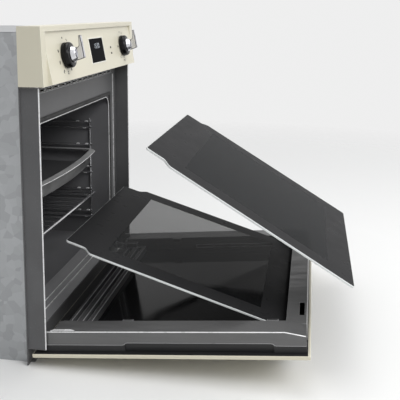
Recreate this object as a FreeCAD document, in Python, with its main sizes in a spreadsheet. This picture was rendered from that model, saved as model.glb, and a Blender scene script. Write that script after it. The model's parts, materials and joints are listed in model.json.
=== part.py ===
"""Built-in oven with its drop-down door open and the two inner door panes taken out.

+X is to the right of someone facing the oven, +Y runs into the oven and +Z is up. Y = 0 is the front
face of the front frame and Z = 0 is the underside of the base. Door pieces are drawn with the door shut,
in a frame whose origin is the hinge axis, and are then swung open together.
"""
import FreeCAD, Part
import Sketcher
import os
import re

Vector = FreeCAD.Vector
Rotation = FreeCAD.Rotation
os.makedirs("parts", exist_ok=True)
doc = FreeCAD.newDocument("oven")

# Driving dimensions in millimetres and degrees
SIZES = {
    # overall and casing
    "oven_width": 595, "oven_height": 595, "body_width": 556, "body_back": 518, "casing_sheet": 1.2,
    "base_sheet": 1.5, "base_front": 6, "top_step": 10, "past": 1,
    # air slots of the casing
    "base_slots": 7, "base_slot_pitch": 60, "base_slot_wide": 20, "base_slot_front": 90, "base_slot_end": 118,
    "side_slots": 10, "side_slot_pitch": 34, "side_slot_long": 22, "side_slot_y": 284, "side_slot_lift": 54,
    "top_slots": 11, "top_slot_pitch": 40, "top_slot_long": 22, "top_slot_end": 94, "back_slots": 11,
    "back_slot_pitch": 44, "back_slot_long": 28, "back_rows": 4, "back_row_pitch": 22, "back_slot_drop": 84,
    "air_slot": 8, "screw_edge": 25, "screw_inset": 12, "screw_radius": 4, "screw_head": 2.5,
    # front frame and side trims
    "frame_margin": 30, "frame_sheet": 2, "mouth_drop": 75, "mouth_corner": 26, "rim_out": 35, "rim_wide": 3,
    "rim_high": 1.4, "fixing_edge": 9, "fixing_low": 200, "fixing_drop": 20, "fixing_radius": 2.6,
    "trim_gap": 2.5, "trim_sheet": 1.5, "trim_front": 33, "trim_low": 31, "opening_edge": 8,
    "opening_side": 15.5,
    # cavity
    "cavity_margin": 100, "cavity_floor": 78, "cavity_end": 106, "liner_wall": 1.5, "flange_wide": 18,
    "sill_deep": 34, "sill_low": 40, "wool_thick": 26, "wool_front": 36, "heater_gap": 16, "wool_under": 12,
    # door seal and vent strip
    "seal_wide": 8, "seal_high": 3.4, "seal_gap": 1.5, "seal_start": 12, "vent_drop": 4, "vent_tall": 17,
    "vent_margin": 56, "vent_proud": 2.4, "vent_count": 14, "vent_rib": 5, "vent_slit": 3, "vent_row": 6,
    # control panel
    "panel_height": 100, "panel_top_front": 41, "panel_low_front": 45, "panel_sheet": 2, "field_tilt": 10.5,
    "field_margin": 42, "field_low": 2, "field_high": 90, "field_stand_out": 8, "field_thick": 10,
    "knob_spread": 380, "display_width": 92, "display_height": 51, "display_proud": 0.8, "lamp_out": 98,
    "lamp_radius": 2.2, "lamp_apart": 12.4, "lamp_up": -5, "lamp_proud": 1.5, "board_half": 70,
    "board_up": 26, "board_sheet": 1.6, "leg_long": 6, "leg_radius": 2.5, "leg_inset": 8,
    # knobs and switches
    "shaft_radius": 3, "running_fit": 0.06, "skirt_radius": 23.5, "skirt_deep": 13, "skirt_gap": 1,
    "hub_radius": 15, "hub_deep": 10, "lever_width": 11, "lever_up": 31, "lever_down": 12, "lever_front": 36,
    "lever_root": 8, "lever_tip": 6.5, "lever_step": 2.5, "switch_wide": 48, "switch_deep": 26,
    "shaft_long": 18, "skirt_bevel": 3, "hub_taper": 4,
    # door
    "hinge_y": -31.5, "hinge_z": 35, "door_open": 85, "door_skin": 6.7, "skin_out": 14.5, "door_inside": 27.5,
    "door_low": 23, "door_gap": 3, "window_margin": 170, "window_low": 62, "window_end": 85,
    "pane_glass": 4, "glass_margin": 54, "outer_glass_low": 2, "glass_end": 11,
    "profile_margin": 14, "profile_sheet": 1.5, "profile_foot": 3.7, "profile_middle": 8, "ledge_wide": 47,
    "profile_low": 8, "profile_end": 5, "ledge_low": 12, "lip_deep": 28, "foot_low_end": 143, "foot_end": 54,
    "slot_long": 190, "slot_end": 78, "slot_wide": 5, "slot_drop": 19, "rail_deep": 35, "rail_flange": 19.8,
    "rail_sheet": 2, "latch_hole_x": -174, "latch_hole_wide": 56, "latch_hole_deep": 9, "latch_hole_end": 13,
    "bottom_rail_low": 13, "bottom_rail_high": 58, "bottom_rail_top": 10, "corner_top": 21, "corner_wide": 16,
    "corner_gap": 4, "trough_first": 5, "trough_pitch": 22, "trough_wide": 11, "trough_end": 12,
    "trough_floor": 2.5, "clip_long": 20, "clip_low": 138, "clip_end": 57, "clip_wide": 7, "clip_deep": 9,
    "handle_end": 39, "handle_margin": 170, "handle_radius": 8, "handle_out": 30, "post_inset": 35,
    "post_radius": 6, "post_foot": 4, "spacer_wide": 6, "foot_wide": 14,
    # loose panes
    "pane_margin": 120, "tab_step": 18, "tab_long": 35, "tab_curve": 21, "pane_start": 8, "pane_lap": 15,
    "inner_rest_y": -195, "inner_rest_z": 382, "inner_rest_tilt": 31.6,
    "middle_rest_y": -42.95, "middle_rest_lift": 40.95, "middle_rest_tilt": 17.5,
    "rest_pad_end": 11, "rest_pad_long": 22, "rest_pad_top": 2.8,
    # hinges
    "arm_inset": 12, "arm_wide": 6, "arm_high": 12, "arm_back": 52, "pin_radius": 3.5, "eye_radius": 7,
    "arm_gap": 2, "cheek_wide": 5.5, "cheek_gap": 0.3, "cheek_deep": 18, "cheek_long": 110, "bridge_low": 40,
    "bridge_end": 10, "receiver_deep": 60, "receiver_side": 8, "receiver_cap": 4, "latch_pin_y": -4,
    "latch_pin_up": 7.3, "latch_pin_radius": 1.5, "latch_long": 15, "latch_sheet": 2, "latch_side": 0.3,
    "lug_wide": 2.2, "lug_half": 2.5,
    # side guides, tray and rack
    "wire_radius": 2, "guide_first": 123.7, "guide_spare": 76.3, "guide_pair": 13, "guide_front": 46,
    "guide_end": 40, "guide_foot": 12, "guide_head": 6, "wall_gap": 2, "slide_fit": 0.6, "seat_gap": 0.3,
    "tray_front": 28, "tray_bow": 17, "tray_end": 50, "tray_sheet": 1.2, "tray_deep": 30, "tray_brim": 15,
    "rack_front": 36, "rack_end": 52, "rack_bar": 3, "rack_rungs": 13, "rung_radius": 1.6,
    # hot air, heaters and lamp
    "fan_radius": 64, "fan_hub": 13, "fan_shaft": 4, "fan_end": 28, "blade_deep": 18, "blade_count": 12,
    "blade_sheet": 1.2, "ring_radius": 84, "ring_gap": 20, "heater_tube": 3.3, "heater_bead": 4.2,
    "cover_half": 128, "cover_deep": 42, "cover_slot": 6, "cover_pitch": 12, "motor_radius": 36,
    "motor_gap": 28, "motor_deep": 42, "foot_half": 12, "grill_drop": 11, "grill_inset": 58,
    "grill_front": 60, "grill_end": 82, "grill_step": 40, "grill_feed": 40, "floor_inset": 48,
    "floor_front": 80, "floor_end": 52, "floor_feed": 60, "lamp_gap": 18, "lamp_drop": 48, "lens_radius": 24,
    "lens_deep": 9, "lens_taper": 5, "holder_deep": 34,
    # cooling blower and supply
    "blower_lift": 76, "blower_y": 220, "blower_radius": 29, "blower_half": 130, "blower_case": 40,
    "blower_wall": 2, "blower_side": 12, "blower_mouth": 8, "blower_motor_long": 46, "blower_shaft": 32,
    "blower_blades": 18, "blade_wide": 8, "gland_inset": 103, "gland_lift": 50, "gland_radius": 9.5,
    "gland_bore": 5, "gland_out": 12, "gland_in": 10, "gland_nut": 5, "block_half": 30, "block_size": 26,
    "well_radius": 5, "well_pitch": 18, "well_deep": 12,
}

# Lengths that follow from the driving ones
DERIVED = {
    # widths
    "frame_width": "body_width + frame_margin", "fixing_spread": "frame_width - 2 * fixing_edge",
    "cavity_width": "body_width - cavity_margin", "rim_offset": "cavity_width / 2 + rim_out",
    "vent_width": "body_width - vent_margin", "field_width": "oven_width - field_margin",
    "profile_width": "body_width + profile_margin", "outer_glass_width": "profile_width - glass_margin",
    "window_width": "profile_width - window_margin", "handle_width": "profile_width - handle_margin",
    "post_spread": "handle_width - 2 * post_inset", "pane_width": "profile_width - pane_margin",
    "tab_width": "pane_width - 2 * tab_step", "arm_inner": "body_width / 2 - arm_inset",
    "arm_outer": "arm_inner + arm_wide", "gland_x": "body_width / 2 - gland_inset",
    "lamp_x": "-(cover_half + lens_radius + lamp_gap)",
    # heights
    "casing_top": "oven_height - top_step", "panel_low": "oven_height - panel_height",
    "vent_high": "panel_low - vent_drop", "vent_low": "vent_high - vent_tall",
    "mouth_top": "panel_low - mouth_drop",
    "fixing_high": "mouth_top - fixing_drop", "side_slot_z": "mouth_top + side_slot_lift",
    "back_slot_z": "mouth_top - back_slot_drop", "guide_pitch": "(mouth_top - guide_first - guide_spare) / 4",
    "fan_z": "(cavity_floor + mouth_top) / 2 + past", "lamp_z": "mouth_top - lamp_drop",
    "blower_z": "mouth_top + blower_lift", "gland_z": "mouth_top + gland_lift",
    # along the door, from the hinge axis
    "door_high": "panel_low - hinge_z - door_gap", "profile_high": "door_high - profile_end",
    "outer_glass_high": "door_high - glass_end", "window_high": "door_high - window_end",
    "foot_high_start": "profile_high - foot_end", "slot_high": "profile_high - slot_end",
    "slot_low": "slot_high - slot_long", "clip_high": "profile_high - clip_end",
    "rail_start": "profile_high - rail_deep", "latch_hole_up": "profile_high - latch_hole_end",
    "rest_pad_up": "rail_start - rest_pad_end", "handle_up": "door_high - handle_end",
    "pane_long": "rail_start + pane_lap - pane_start",
    "middle_reach": "pane_long * cos(middle_rest_tilt) / tan(door_open)",
    "middle_rest_z": "middle_rest_lift + middle_reach + pane_long * sin(middle_rest_tilt)",
    # depths
    "cavity_back": "body_back - cavity_end", "base_slot_back": "body_back - base_slot_end",
    "top_slot_y": "body_back - top_slot_end", "guide_back": "cavity_back - guide_end",
    "tray_back": "cavity_back - tray_end", "rack_back": "cavity_back - rack_end",
    "cover_front": "cavity_back - cover_deep", "fan_front": "cavity_back - fan_end",
    "motor_front": "cavity_back + motor_gap",
}

dims = doc.addObject("Spreadsheet::Sheet", "dims")
for row, (alias, value) in enumerate(SIZES.items(), start=1):
    dims.set(f"A{row}", alias)
    dims.set(f"B{row}", str(value))
    dims.setAlias(f"B{row}", alias)
doc.recompute()

WORD = re.compile(r"[a-z_]+")


def tied(formula):
    """The formula with every length in it traced back to cells of the sheet."""
    def cell(match):
        word = match[0]
        if word in DERIVED:
            return f"({tied(DERIVED[word])})"
        return "dims." + word if word in SIZES else word

    return WORD.sub(cell, str(formula))


def bind(item, prop, formula):
    item.setExpression(prop, tied(formula))


def place(item, x=0, y=0, z=0):
    for axis, formula in zip("xyz", (x, y, z)):
        bind(item, f"Placement.Base.{axis}", formula)


def box(x, y, z):
    """A block between pairs of formulas."""
    item = doc.addObject("Part::Box", "block")
    for prop, (low, high) in zip(("Length", "Width", "Height"), (x, y, z)):
        bind(item, prop, f"({high}) - ({low})")
    place(item, x[0], y[0], z[0])
    return item


AXIS_TURNS = {"x": Rotation(Vector(0, 1, 0), 90), "y": Rotation(Vector(1, 0, 0), -90), "z": Rotation()}


def rod(axis, span, centre, radius, end_radius=None):
    """A round bar or cone along an axis, between two formulas, centred on the other two coordinates."""
    item = doc.addObject("Part::Cylinder" if end_radius is None else "Part::Cone", "rod")
    item.Placement = FreeCAD.Placement(Vector(), AXIS_TURNS[axis])
    bind(item, "Height", f"({span[1]}) - ({span[0]})")
    if end_radius is None:
        bind(item, "Radius", radius)
    else:
        bind(item, "Radius1", radius)
        bind(item, "Radius2", end_radius)
    spots = {"x": (span[0], *centre), "y": (centre[0], span[0], centre[1]), "z": (*centre, span[0])}
    place(item, *spots[axis])
    return item


def ball(centre, radius):
    item = doc.addObject("Part::Sphere", "ball")
    bind(item, "Radius", radius)
    place(item, *centre)
    return item


def open_ring(centre, radius, tube, gap):
    """A round ring about an axis along Y, left open over an angle above its right-hand end."""
    item = doc.addObject("Part::Torus", "ring")
    item.Placement = FreeCAD.Placement(Vector(), AXIS_TURNS["y"])
    bind(item, "Radius1", radius)
    bind(item, "Radius2", tube)
    bind(item, "Angle3", f"360 - {gap}")
    place(item, *centre)
    return item


def fuse(items):
    if len(items) == 1:
        return items[0]
    item = doc.addObject("Part::MultiFuse", "joined")
    item.Shapes = items
    return item


def cut(base, tools):
    item = doc.addObject("Part::Cut", "cut")
    item.Base = base
    item.Tool = fuse(tools)
    return item


def common(items):
    item = doc.addObject("Part::MultiCommon", "shared")
    item.Shapes = items
    return item


def group(items):
    """Separate solids, or one solid that keeps its own placement, held together as one item."""
    item = doc.addObject("Part::Compound", "group")
    item.Links = items
    return item


def bent_rod(points, radius):
    """A rod through corner points that follow the axes, with a ball at each inner corner."""
    pieces = []
    for start, end in zip(points, points[1:]):
        along = next(i for i in range(3) if start[i] != end[i])
        others = [start[i] for i in range(3) if i != along]
        ends = sorted((start[along], end[along]), key=dims_value)
        pieces.append(rod("xyz"[along], ends, others, radius))
    pieces += [ball(point, radius) for point in points[1:-1]]
    return fuse(pieces)


def outline_body(name, plane, corners, thickness):
    """A body padded both ways from one closed outline whose corner coordinates are all bound to the sheet."""
    body = doc.addObject("PartDesign::Body", name)
    sketch = body.newObject("Sketcher::SketchObject", name + "_outline")
    origin_plane = next(f for f in body.Origin.OriginFeatures if f.Role == plane + "_Plane")
    sketch.AttachmentSupport = [(origin_plane, "")]
    sketch.MapMode = "FlatFace"
    values = [[float(dims_value(formula)) for formula in corner] for corner in corners]
    count = len(corners)
    for i in range(count):
        start = Vector(*values[i], 0)
        end = Vector(*values[(i + 1) % count], 0)
        sketch.addGeometry(Part.LineSegment(start, end))
    for i in range(count):
        sketch.addConstraint(Sketcher.Constraint("Coincident", i, 2, (i + 1) % count, 1))
    for i, corner in enumerate(corners):
        for kind, formula, value in zip(("DistanceX", "DistanceY"), corner, values[i]):
            index = sketch.addConstraint(Sketcher.Constraint(kind, -1, 1, i, 1, value))
            sketch.setExpression(f"Constraints[{index}]", tied(formula))
    pad = body.newObject("PartDesign::Pad", name + "_pad")
    pad.Profile = sketch
    pad.Midplane = True
    bind(pad, "Length", thickness)
    return body


def dims_value(formula):
    """The number that a formula of driving dimensions gives now."""
    cell = doc.getObject("probe") or doc.addObject("App::FeaturePython", "probe")
    if "Number" not in cell.PropertiesList:
        cell.addProperty("App::PropertyFloat", "Number")
    cell.setExpression("Number", tied(formula))
    doc.recompute([cell])
    return cell.Number


nodes = []


def node(item, name):
    """Names an item as one piece of the oven."""
    item.Label = name
    nodes.append(item)
    return item


def swing(item, name):
    """A door piece: drawn about the hinge axis with the door shut, then swung open."""
    item = group([item]) if item.TypeId in ("Part::Box", "Part::Cylinder") else item
    item.Placement = FreeCAD.Placement(Vector(), Rotation(Vector(1, 0, 0), 1))
    place(item, 0, "hinge_y", "hinge_z")
    bind(item, "Placement.Rotation.Angle", "door_open")
    return node(item, name)


def tilted(item, name=None):
    """A piece of the control field, or a cutting tool for it: drawn on an upright field, then leaned back."""
    item = group([item]) if item.TypeId in ("Part::Box", "Part::Cylinder") else item
    item.Placement = FreeCAD.Placement(Vector(), Rotation(Vector(-1, 0, 0), 1))
    place(item, 0, FIELD_Y, FIELD_Z)
    bind(item, "Placement.Rotation.Angle", "field_tilt")
    return node(item, name) if name else item


def span(side, near, far):
    """An X range on one side of the middle: near and far are distances from the middle."""
    return (near, far) if side == "right" else (f"-({far})", f"-({near})")


def about(half):
    """A range about the middle."""
    return (f"-({half})", half)


def at_side(side, distance):
    return distance if side == "right" else f"-({distance})"


def row(count, pitch, long, middle="0"):
    """The ranges of a row of equal slots, spread evenly about a middle."""
    shifts = [i - (SIZES[count] - 1) / 2 for i in range(SIZES[count])]
    centres = [f"{middle} + {shift} * {pitch}" for shift in shifts]
    return [(f"{centre} - {long} / 2", f"{centre} + {long} / 2") for centre in centres]


SIDES = ("left", "right")
CAVITY = "cavity_width / 2"

# The middle of the tilted control field
FIELD_Z = "panel_low + (field_low + field_high) / 2"
FIELD_Y = "-panel_low_front - field_stand_out + (field_high - field_low) / 2 * tan(field_tilt)"


def casing():
    half = "body_width / 2"
    inside = f"{half} - casing_sheet"
    high = "casing_top - casing_sheet"
    slots = [box(ends, ("base_slot_front", "base_slot_back"), ("-past", "base_sheet + past"))
             for ends in row("base_slots", "base_slot_pitch", "base_slot_wide")]
    plate = box(about(half), ("-base_front", "body_back"), (0, "base_sheet"))
    node(cut(plate, slots), "base_plate")
    for side in SIDES:
        wall = box(span(side, inside, half), ("frame_sheet", "body_back"), ("base_sheet", high))
        slots = [box(span(side, f"{inside} - past", f"{half} + past"), ends,
                     ("side_slot_z - air_slot / 2", "side_slot_z + air_slot / 2"))
                 for ends in row("side_slots", "side_slot_pitch", "side_slot_long", "side_slot_y")]
        node(cut(wall, slots), f"side_panel_{side}")
    lid = box(about(half), ("frame_sheet", "body_back"), (high, "casing_top"))
    slots = [box(ends, ("top_slot_y - air_slot / 2", "top_slot_y + air_slot / 2"),
                 (f"{high} - past", "casing_top + past"))
             for ends in row("top_slots", "top_slot_pitch", "top_slot_long")]
    node(cut(lid, slots), "top_cover")
    back = box(about(half), ("body_back", "body_back + casing_sheet"), ("base_sheet", "casing_top"))
    through = ("body_back - past", "body_back + casing_sheet + past")
    slots = [box(across, through, up) for across in row("back_slots", "back_slot_pitch", "back_slot_long")
             for up in row("back_rows", "back_row_pitch", "air_slot", "back_slot_z")]
    slots.append(rod("y", through, ("gland_x", "gland_z"), "gland_radius + seat_gap"))
    node(cut(back, slots), "rear_cover")


def front_frame():
    half = "frame_width / 2"
    plate = box(about(half), (0, "frame_sheet"), ("base_sheet", "casing_top - casing_sheet"))
    rims = [box(span(side, "rim_offset", "rim_offset + rim_wide"), ("-rim_high", 0),
                ("hinge_z + 45", "vent_low - 4")) for side in SIDES]
    through = ("-past", "frame_sheet + past")
    mouth = [
        box(about(CAVITY), through, ("sill_low", "mouth_top - mouth_corner")),
        box(about(f"{CAVITY} - mouth_corner"), through, ("sill_low + 1", "mouth_top")),
    ]
    mouth += [rod("y", through, (at_side(side, f"{CAVITY} - mouth_corner"), "mouth_top - mouth_corner"),
                  "mouth_corner") for side in SIDES]
    holes = [box(about("body_width / 2 - opening_side"), through,
                 ("panel_low + opening_edge", "casing_top - opening_edge"))]
    pitch = "vent_width / vent_count"
    ribbed = row("vent_count", pitch, f"({pitch} - 2 * vent_rib)")
    holes += [box(ends, through, ("vent_low + vent_slit", "vent_high - vent_slit")) for ends in ribbed]
    holes += [rod("y", through, (at_side(side, "fixing_spread / 2"), height), "fixing_radius")
              for side in SIDES for height in ("fixing_low", "fixing_high")]
    holes += [box(span(side, "arm_inner - arm_gap", "arm_outer + arm_gap"), through,
                  ("hinge_z - arm_high / 2 - arm_gap", "hinge_z + arm_high / 2 + arm_gap")) for side in SIDES]
    node(cut(fuse([plate] + rims), mouth + holes), "front_frame")
    for side in SIDES:
        near = f"{half} - trim_gap - trim_sheet"
        trim = box(span(side, near, f"{near} + trim_sheet"), ("-trim_front", 0),
                   ("trim_low", "panel_low - 2"))
        node(trim, f"side_trim_{side}")
    near = f"{CAVITY} + seal_gap"
    far = f"{near} + seal_wide"
    top = "mouth_top + seal_gap + seal_wide"
    strips = [box(about(far), ("-seal_high", 0), ("mouth_top + seal_gap", top))]
    strips += [box(span(side, near, far), ("-seal_high", 0), ("sill_low + seal_start", top))
               for side in SIDES]
    node(fuse(strips), "door_seal")
    strip = box(about("vent_width / 2"), ("-vent_proud", 0), ("vent_low", "vent_high"))
    starts = ["vent_low + vent_slit", "vent_low + vent_slit + vent_row"]
    slots = [box(ends, ("-vent_proud - past", "past"), (start, f"{start} + vent_slit"))
             for ends in ribbed for start in starts]
    node(cut(strip, slots), "vent_grille")


def cavity():
    front = "frame_sheet"
    low = "cavity_floor"
    rear = "cavity_back + liner_wall"
    shell = outline_body("liner_shell", "YZ", [
        (front, "sill_low - liner_wall"), ("sill_deep", f"{low} - liner_wall"), (rear, f"{low} - liner_wall"),
        (rear, "mouth_top + liner_wall"), (front, "mouth_top + liner_wall")], f"2 * ({CAVITY} + liner_wall)")
    hollow = outline_body("liner_hollow", "YZ", [
        (f"{front} - 4", "sill_low - 4"), ("sill_deep", low), ("cavity_back", low),
        ("cavity_back", "mouth_top"), (f"{front} - 4", "mouth_top")], f"2 * ({CAVITY})")
    flange = box(about(f"{CAVITY} + flange_wide"), (front, f"{front} + liner_wall"),
                 ("sill_low - flange_wide / 3", "mouth_top + flange_wide"))
    back = ("cavity_back - past", "cavity_back + liner_wall + past")
    holes = [rod("y", back, (0, "fan_z"), "fan_shaft + 2"),
             rod("y", back, ("lamp_x", "lamp_z"), "lens_radius - lens_deep")]
    node(cut(fuse([shell, flange]), [hollow] + holes), "cavity_liner")

    wide = f"{CAVITY} + liner_wall + wool_thick"
    wool = box(about(wide), ("wool_front", "cavity_back + liner_wall + wool_thick"),
               (f"{low} - liner_wall - heater_gap - wool_under", "mouth_top + liner_wall + wool_thick"))
    core = box(about(f"{CAVITY} + liner_wall"),
               ("wool_front - past", "cavity_back + liner_wall"),
               (f"{low} - liner_wall - heater_gap", "mouth_top + liner_wall"))
    behind = ("cavity_back", "cavity_back + liner_wall + wool_thick + past")
    ways = [rod("y", behind, (0, "fan_z"), "fan_shaft + 6"),
            rod("y", behind, ("lamp_x", "lamp_z"), "lens_radius + 2")]
    node(cut(wool, [core] + ways), "insulation")


def panel():
    half = "oven_width / 2"
    skin = outline_body("panel_skin", "YZ", [
        ("-panel_top_front", "oven_height"), ("-panel_low_front", "panel_low"), (0, "panel_low"),
        (0, "oven_height")], "oven_width")
    field_half = "(field_high - field_low) / 2 / cos(field_tilt)"
    plate = tilted(box(about("field_width / 2"), (0, "field_thick"), about(field_half)))
    recess = tilted(box(about("field_width / 2"), ("-panel_low_front", 0), about(field_half)))
    ceiling = "oven_height - panel_sheet"
    rooms = [box(about(f"{half} - panel_sheet"), ("-panel_low_front + panel_sheet", "past"),
                 ("panel_low + panel_sheet", ceiling)),
             box(about("field_width / 2 - panel_sheet"), ("-panel_low_front - field_stand_out", "past"),
                 ("panel_low + field_low + panel_sheet", ceiling))]
    behind = tilted(box(about(half), ("panel_sheet", "panel_height"), about("panel_height")))
    hollow = common([behind, fuse(rooms)])
    bores = [tilted(rod("y", ("-past", "panel_sheet + past"), (at_side(side, "knob_spread / 2"), 0),
                        "shaft_radius + 1")) for side in SIDES]
    node(cut(fuse([skin, plate]), [recess, hollow] + bores), "control_panel")

    wide = "display_width / 2"
    tall = "display_height / 2"
    tilted(box(about(wide), ("-display_proud", 0), about(tall)), "display_window")
    lamps = [rod("y", ("-lamp_proud", 0), ("lamp_out", f"lamp_up + {sign} * lamp_apart / 2"), "lamp_radius")
             for sign in (1, -1)]
    tilted(group(lamps), "indicator_lamps")
    stand = "panel_sheet + leg_long"
    board = box(about("board_half"), (stand, f"{stand} + board_sheet"), about("board_up"))
    spots = [(f"{side} * (board_half - leg_inset)", f"{up} * (board_up - leg_inset)")
             for side in (-1, 1) for up in (-1, 1)]
    legs = [rod("y", ("panel_sheet", stand), spot, "leg_radius") for spot in spots]
    tilted(fuse([board] + legs), "control_board")
    for side, name in zip(SIDES, ("function_switch", "thermostat")):
        spot = at_side(side, "knob_spread / 2")
        case = box((f"{spot} - switch_wide / 2", f"{spot} + switch_wide / 2"),
                   ("panel_sheet", "panel_sheet + switch_deep"), about("switch_wide / 2"))
        bore = rod("y", ("panel_sheet - past", "panel_sheet + shaft_long + past"), (spot, 0),
                   "shaft_radius + running_fit")
        tilted(cut(case, [bore]), name)


def knobs():
    for side, name in zip(SIDES, ("function", "temperature")):
        spot = at_side(side, "knob_spread / 2")
        face = "-skirt_gap - skirt_deep"
        skirt = rod("y", (f"{face} + skirt_bevel", "-skirt_gap"), (spot, 0), "skirt_radius")
        bevel = rod("y", (face, f"{face} + skirt_bevel"), (spot, 0),
                    "skirt_radius - skirt_bevel", "skirt_radius")
        shaft = rod("y", ("-skirt_gap", "panel_sheet + shaft_long"), (spot, 0), "shaft_radius")
        tilted(fuse([skirt, bevel, shaft]), f"{name}_knob_skirt")
        hub = rod("y", (f"{face} - hub_deep", face), (spot, 0), "hub_radius - hub_taper", "hub_radius")
        finger = outline_body(f"{name}_finger", "YZ", [
            (face, "-lever_down"), (f"{face} - lever_root", "-lever_down"),
            ("-lever_front", "-lever_down + lever_step"),
            ("-lever_front", "lever_up"), ("-lever_front + lever_tip", "lever_up"),
            (f"{face} - hub_deep", "lever_root"), (face, "hub_deep")],
            "lever_width")
        place(finger, spot)
        tilted(fuse([hub, finger]), f"{name}_knob_lever")


def door():
    skin_in = "-skin_out + door_skin"
    glass_in = f"{skin_in} + pane_glass"
    skin = box(about("oven_width / 2"), ("-skin_out", skin_in), ("-door_low", "door_high"))
    window = box(about("window_width / 2"), ("-skin_out - past", f"{skin_in} + past"),
                 ("window_low", "window_high"))
    swing(cut(skin, [window]), "door_outer_panel")
    swing(box(about("outer_glass_width / 2"), (skin_in, glass_in),
              ("outer_glass_low", "outer_glass_high")), "door_outer_glass")

    outer = "profile_width / 2"
    inner = f"{outer} - ledge_wide"
    spacers = []
    for side in SIDES:
        wall = box(span(side, f"{outer} - profile_sheet", outer), ("profile_foot", "door_inside"),
                   ("-profile_low", "profile_high"))
        relief = box(span(side, f"{outer} - profile_sheet - past", f"{outer} + past"),
                     ("profile_foot - past", "profile_middle"), ("foot_low_end", "foot_high_start"))
        ledge = box(span(side, inner, outer), ("door_inside - profile_sheet", "door_inside"),
                    ("ledge_low", "profile_high"))
        lip = box(span(side, inner, f"{inner} + profile_sheet"), ("door_inside - lip_deep", "door_inside"),
                  ("ledge_low", "profile_high"))
        foot_y = ("profile_foot", "profile_foot + profile_sheet")
        foot = box(span(side, f"{outer} - foot_wide", outer), foot_y, ("foot_high_start", "profile_high"))
        low_foot = box(span(side, f"{outer} - spacer_wide", outer), foot_y, ("-profile_low", "foot_low_end"))
        slot = box(span(side, f"{inner} - past", f"{inner} + profile_sheet + past"),
                   ("door_inside - slot_drop - slot_wide", "door_inside - slot_drop"),
                   ("slot_low", "slot_high"))
        swing(cut(fuse([wall, ledge, lip, foot, low_foot]), [relief, slot]), f"door_profile_{side}")
        spacers += [box(span(side, f"{outer} - spacer_wide", outer), (skin_in, "profile_foot"), ends)
                    for ends in (("-profile_low", "foot_low_end"), ("foot_high_start", "profile_high"))]
    swing(group(spacers), "profile_spacers")

    across = about(inner)
    flange = box(across, ("rail_flange", "rail_flange + rail_sheet"), ("rail_start", "profile_high"))
    wall = box(across, (skin_in, "rail_flange + rail_sheet"), ("profile_high - rail_sheet", "profile_high"))
    pad = box(about("tab_width / 2"), (glass_in, "rest_pad_top"),
              ("rest_pad_up", "rest_pad_up + rest_pad_long"))
    hole = box(("latch_hole_x - latch_hole_wide / 2", "latch_hole_x + latch_hole_wide / 2"),
               ("rail_flange - past", "rail_flange + rail_sheet + past"),
               ("latch_hole_up", "latch_hole_up + latch_hole_deep"))
    swing(cut(fuse([flange, wall]), [hole]), "door_top_rail")
    swing(pad, "pane_rest_pad")

    base = box(across, (glass_in, "bottom_rail_top"), ("bottom_rail_low", "bottom_rail_high"))
    starts = ("bottom_rail_low + trough_first", "bottom_rail_low + trough_first + trough_pitch")
    troughs = [box(about(f"{inner} - trough_end"), (f"{glass_in} + trough_floor", "bottom_rail_top + past"),
                   (start, f"{start} + trough_wide")) for start in starts]
    corners = [box(span(side, f"{inner} - corner_wide", inner), ("bottom_rail_top", "corner_top"),
                   ("bottom_rail_low", "pane_start + tab_long - corner_gap")) for side in SIDES]
    swing(cut(fuse([base] + corners), troughs), "door_bottom_rail")
    clips = [box(span(side, f"{inner} - clip_wide", inner), ("door_inside - clip_deep", "door_inside"),
                 (f"{height} - clip_long / 2", f"{height} + clip_long / 2"))
             for side in SIDES for height in ("clip_low", "clip_high")]
    swing(group(clips), "pane_clips")

    centre = "-skin_out - handle_out"
    bar = rod("x", about("handle_width / 2"), (centre, "handle_up"), "handle_radius")
    tips = [rod("x", span(side, "handle_width / 2", "handle_width / 2 + post_foot"), (centre, "handle_up"),
                "handle_radius + past") for side in SIDES]
    swing(fuse([bar] + tips), "handle_bar")
    posts = []
    for side in SIDES:
        spot = at_side(side, "post_spread / 2")
        stem = rod("y", (centre, "-skin_out"), (spot, "handle_up"), "post_radius")
        foot = rod("y", ("-skin_out - post_foot", "-skin_out"), (spot, "handle_up"),
                   "post_radius + post_foot")
        hollow = rod("x", (f"{spot} - handle_out", f"{spot} + handle_out"), (centre, "handle_up"),
                     "handle_radius")
        posts.append(cut(fuse([stem, foot]), [hollow]))
    swing(group(posts), "handle_posts")


def pane(name, rest):
    """A pane, narrower at its hinge end, drawn upright from that end and laid at its rest place."""
    half = "pane_width / 2"
    tab = "tab_width / 2"
    shoulder = f"({half} + {tab}) / 2"
    rise = ("tab_long", "tab_long + tab_curve / 2", "tab_long + tab_curve")
    right = [(tab, 0), (tab, rise[0]), (shoulder, rise[1]), (half, rise[2]), (half, "pane_long")]
    corners = right + [(f"-({x})", z) for x, z in reversed(right)]
    body = outline_body(name, "XZ", corners, "pane_glass")
    body.Placement = FreeCAD.Placement(Vector(), Rotation(Vector(1, 0, 0), 1))
    place(body, 0, rest[0], rest[1])
    bind(body, "Placement.Rotation.Angle", f"90 + {rest[2]}")
    node(body, name)


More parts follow.
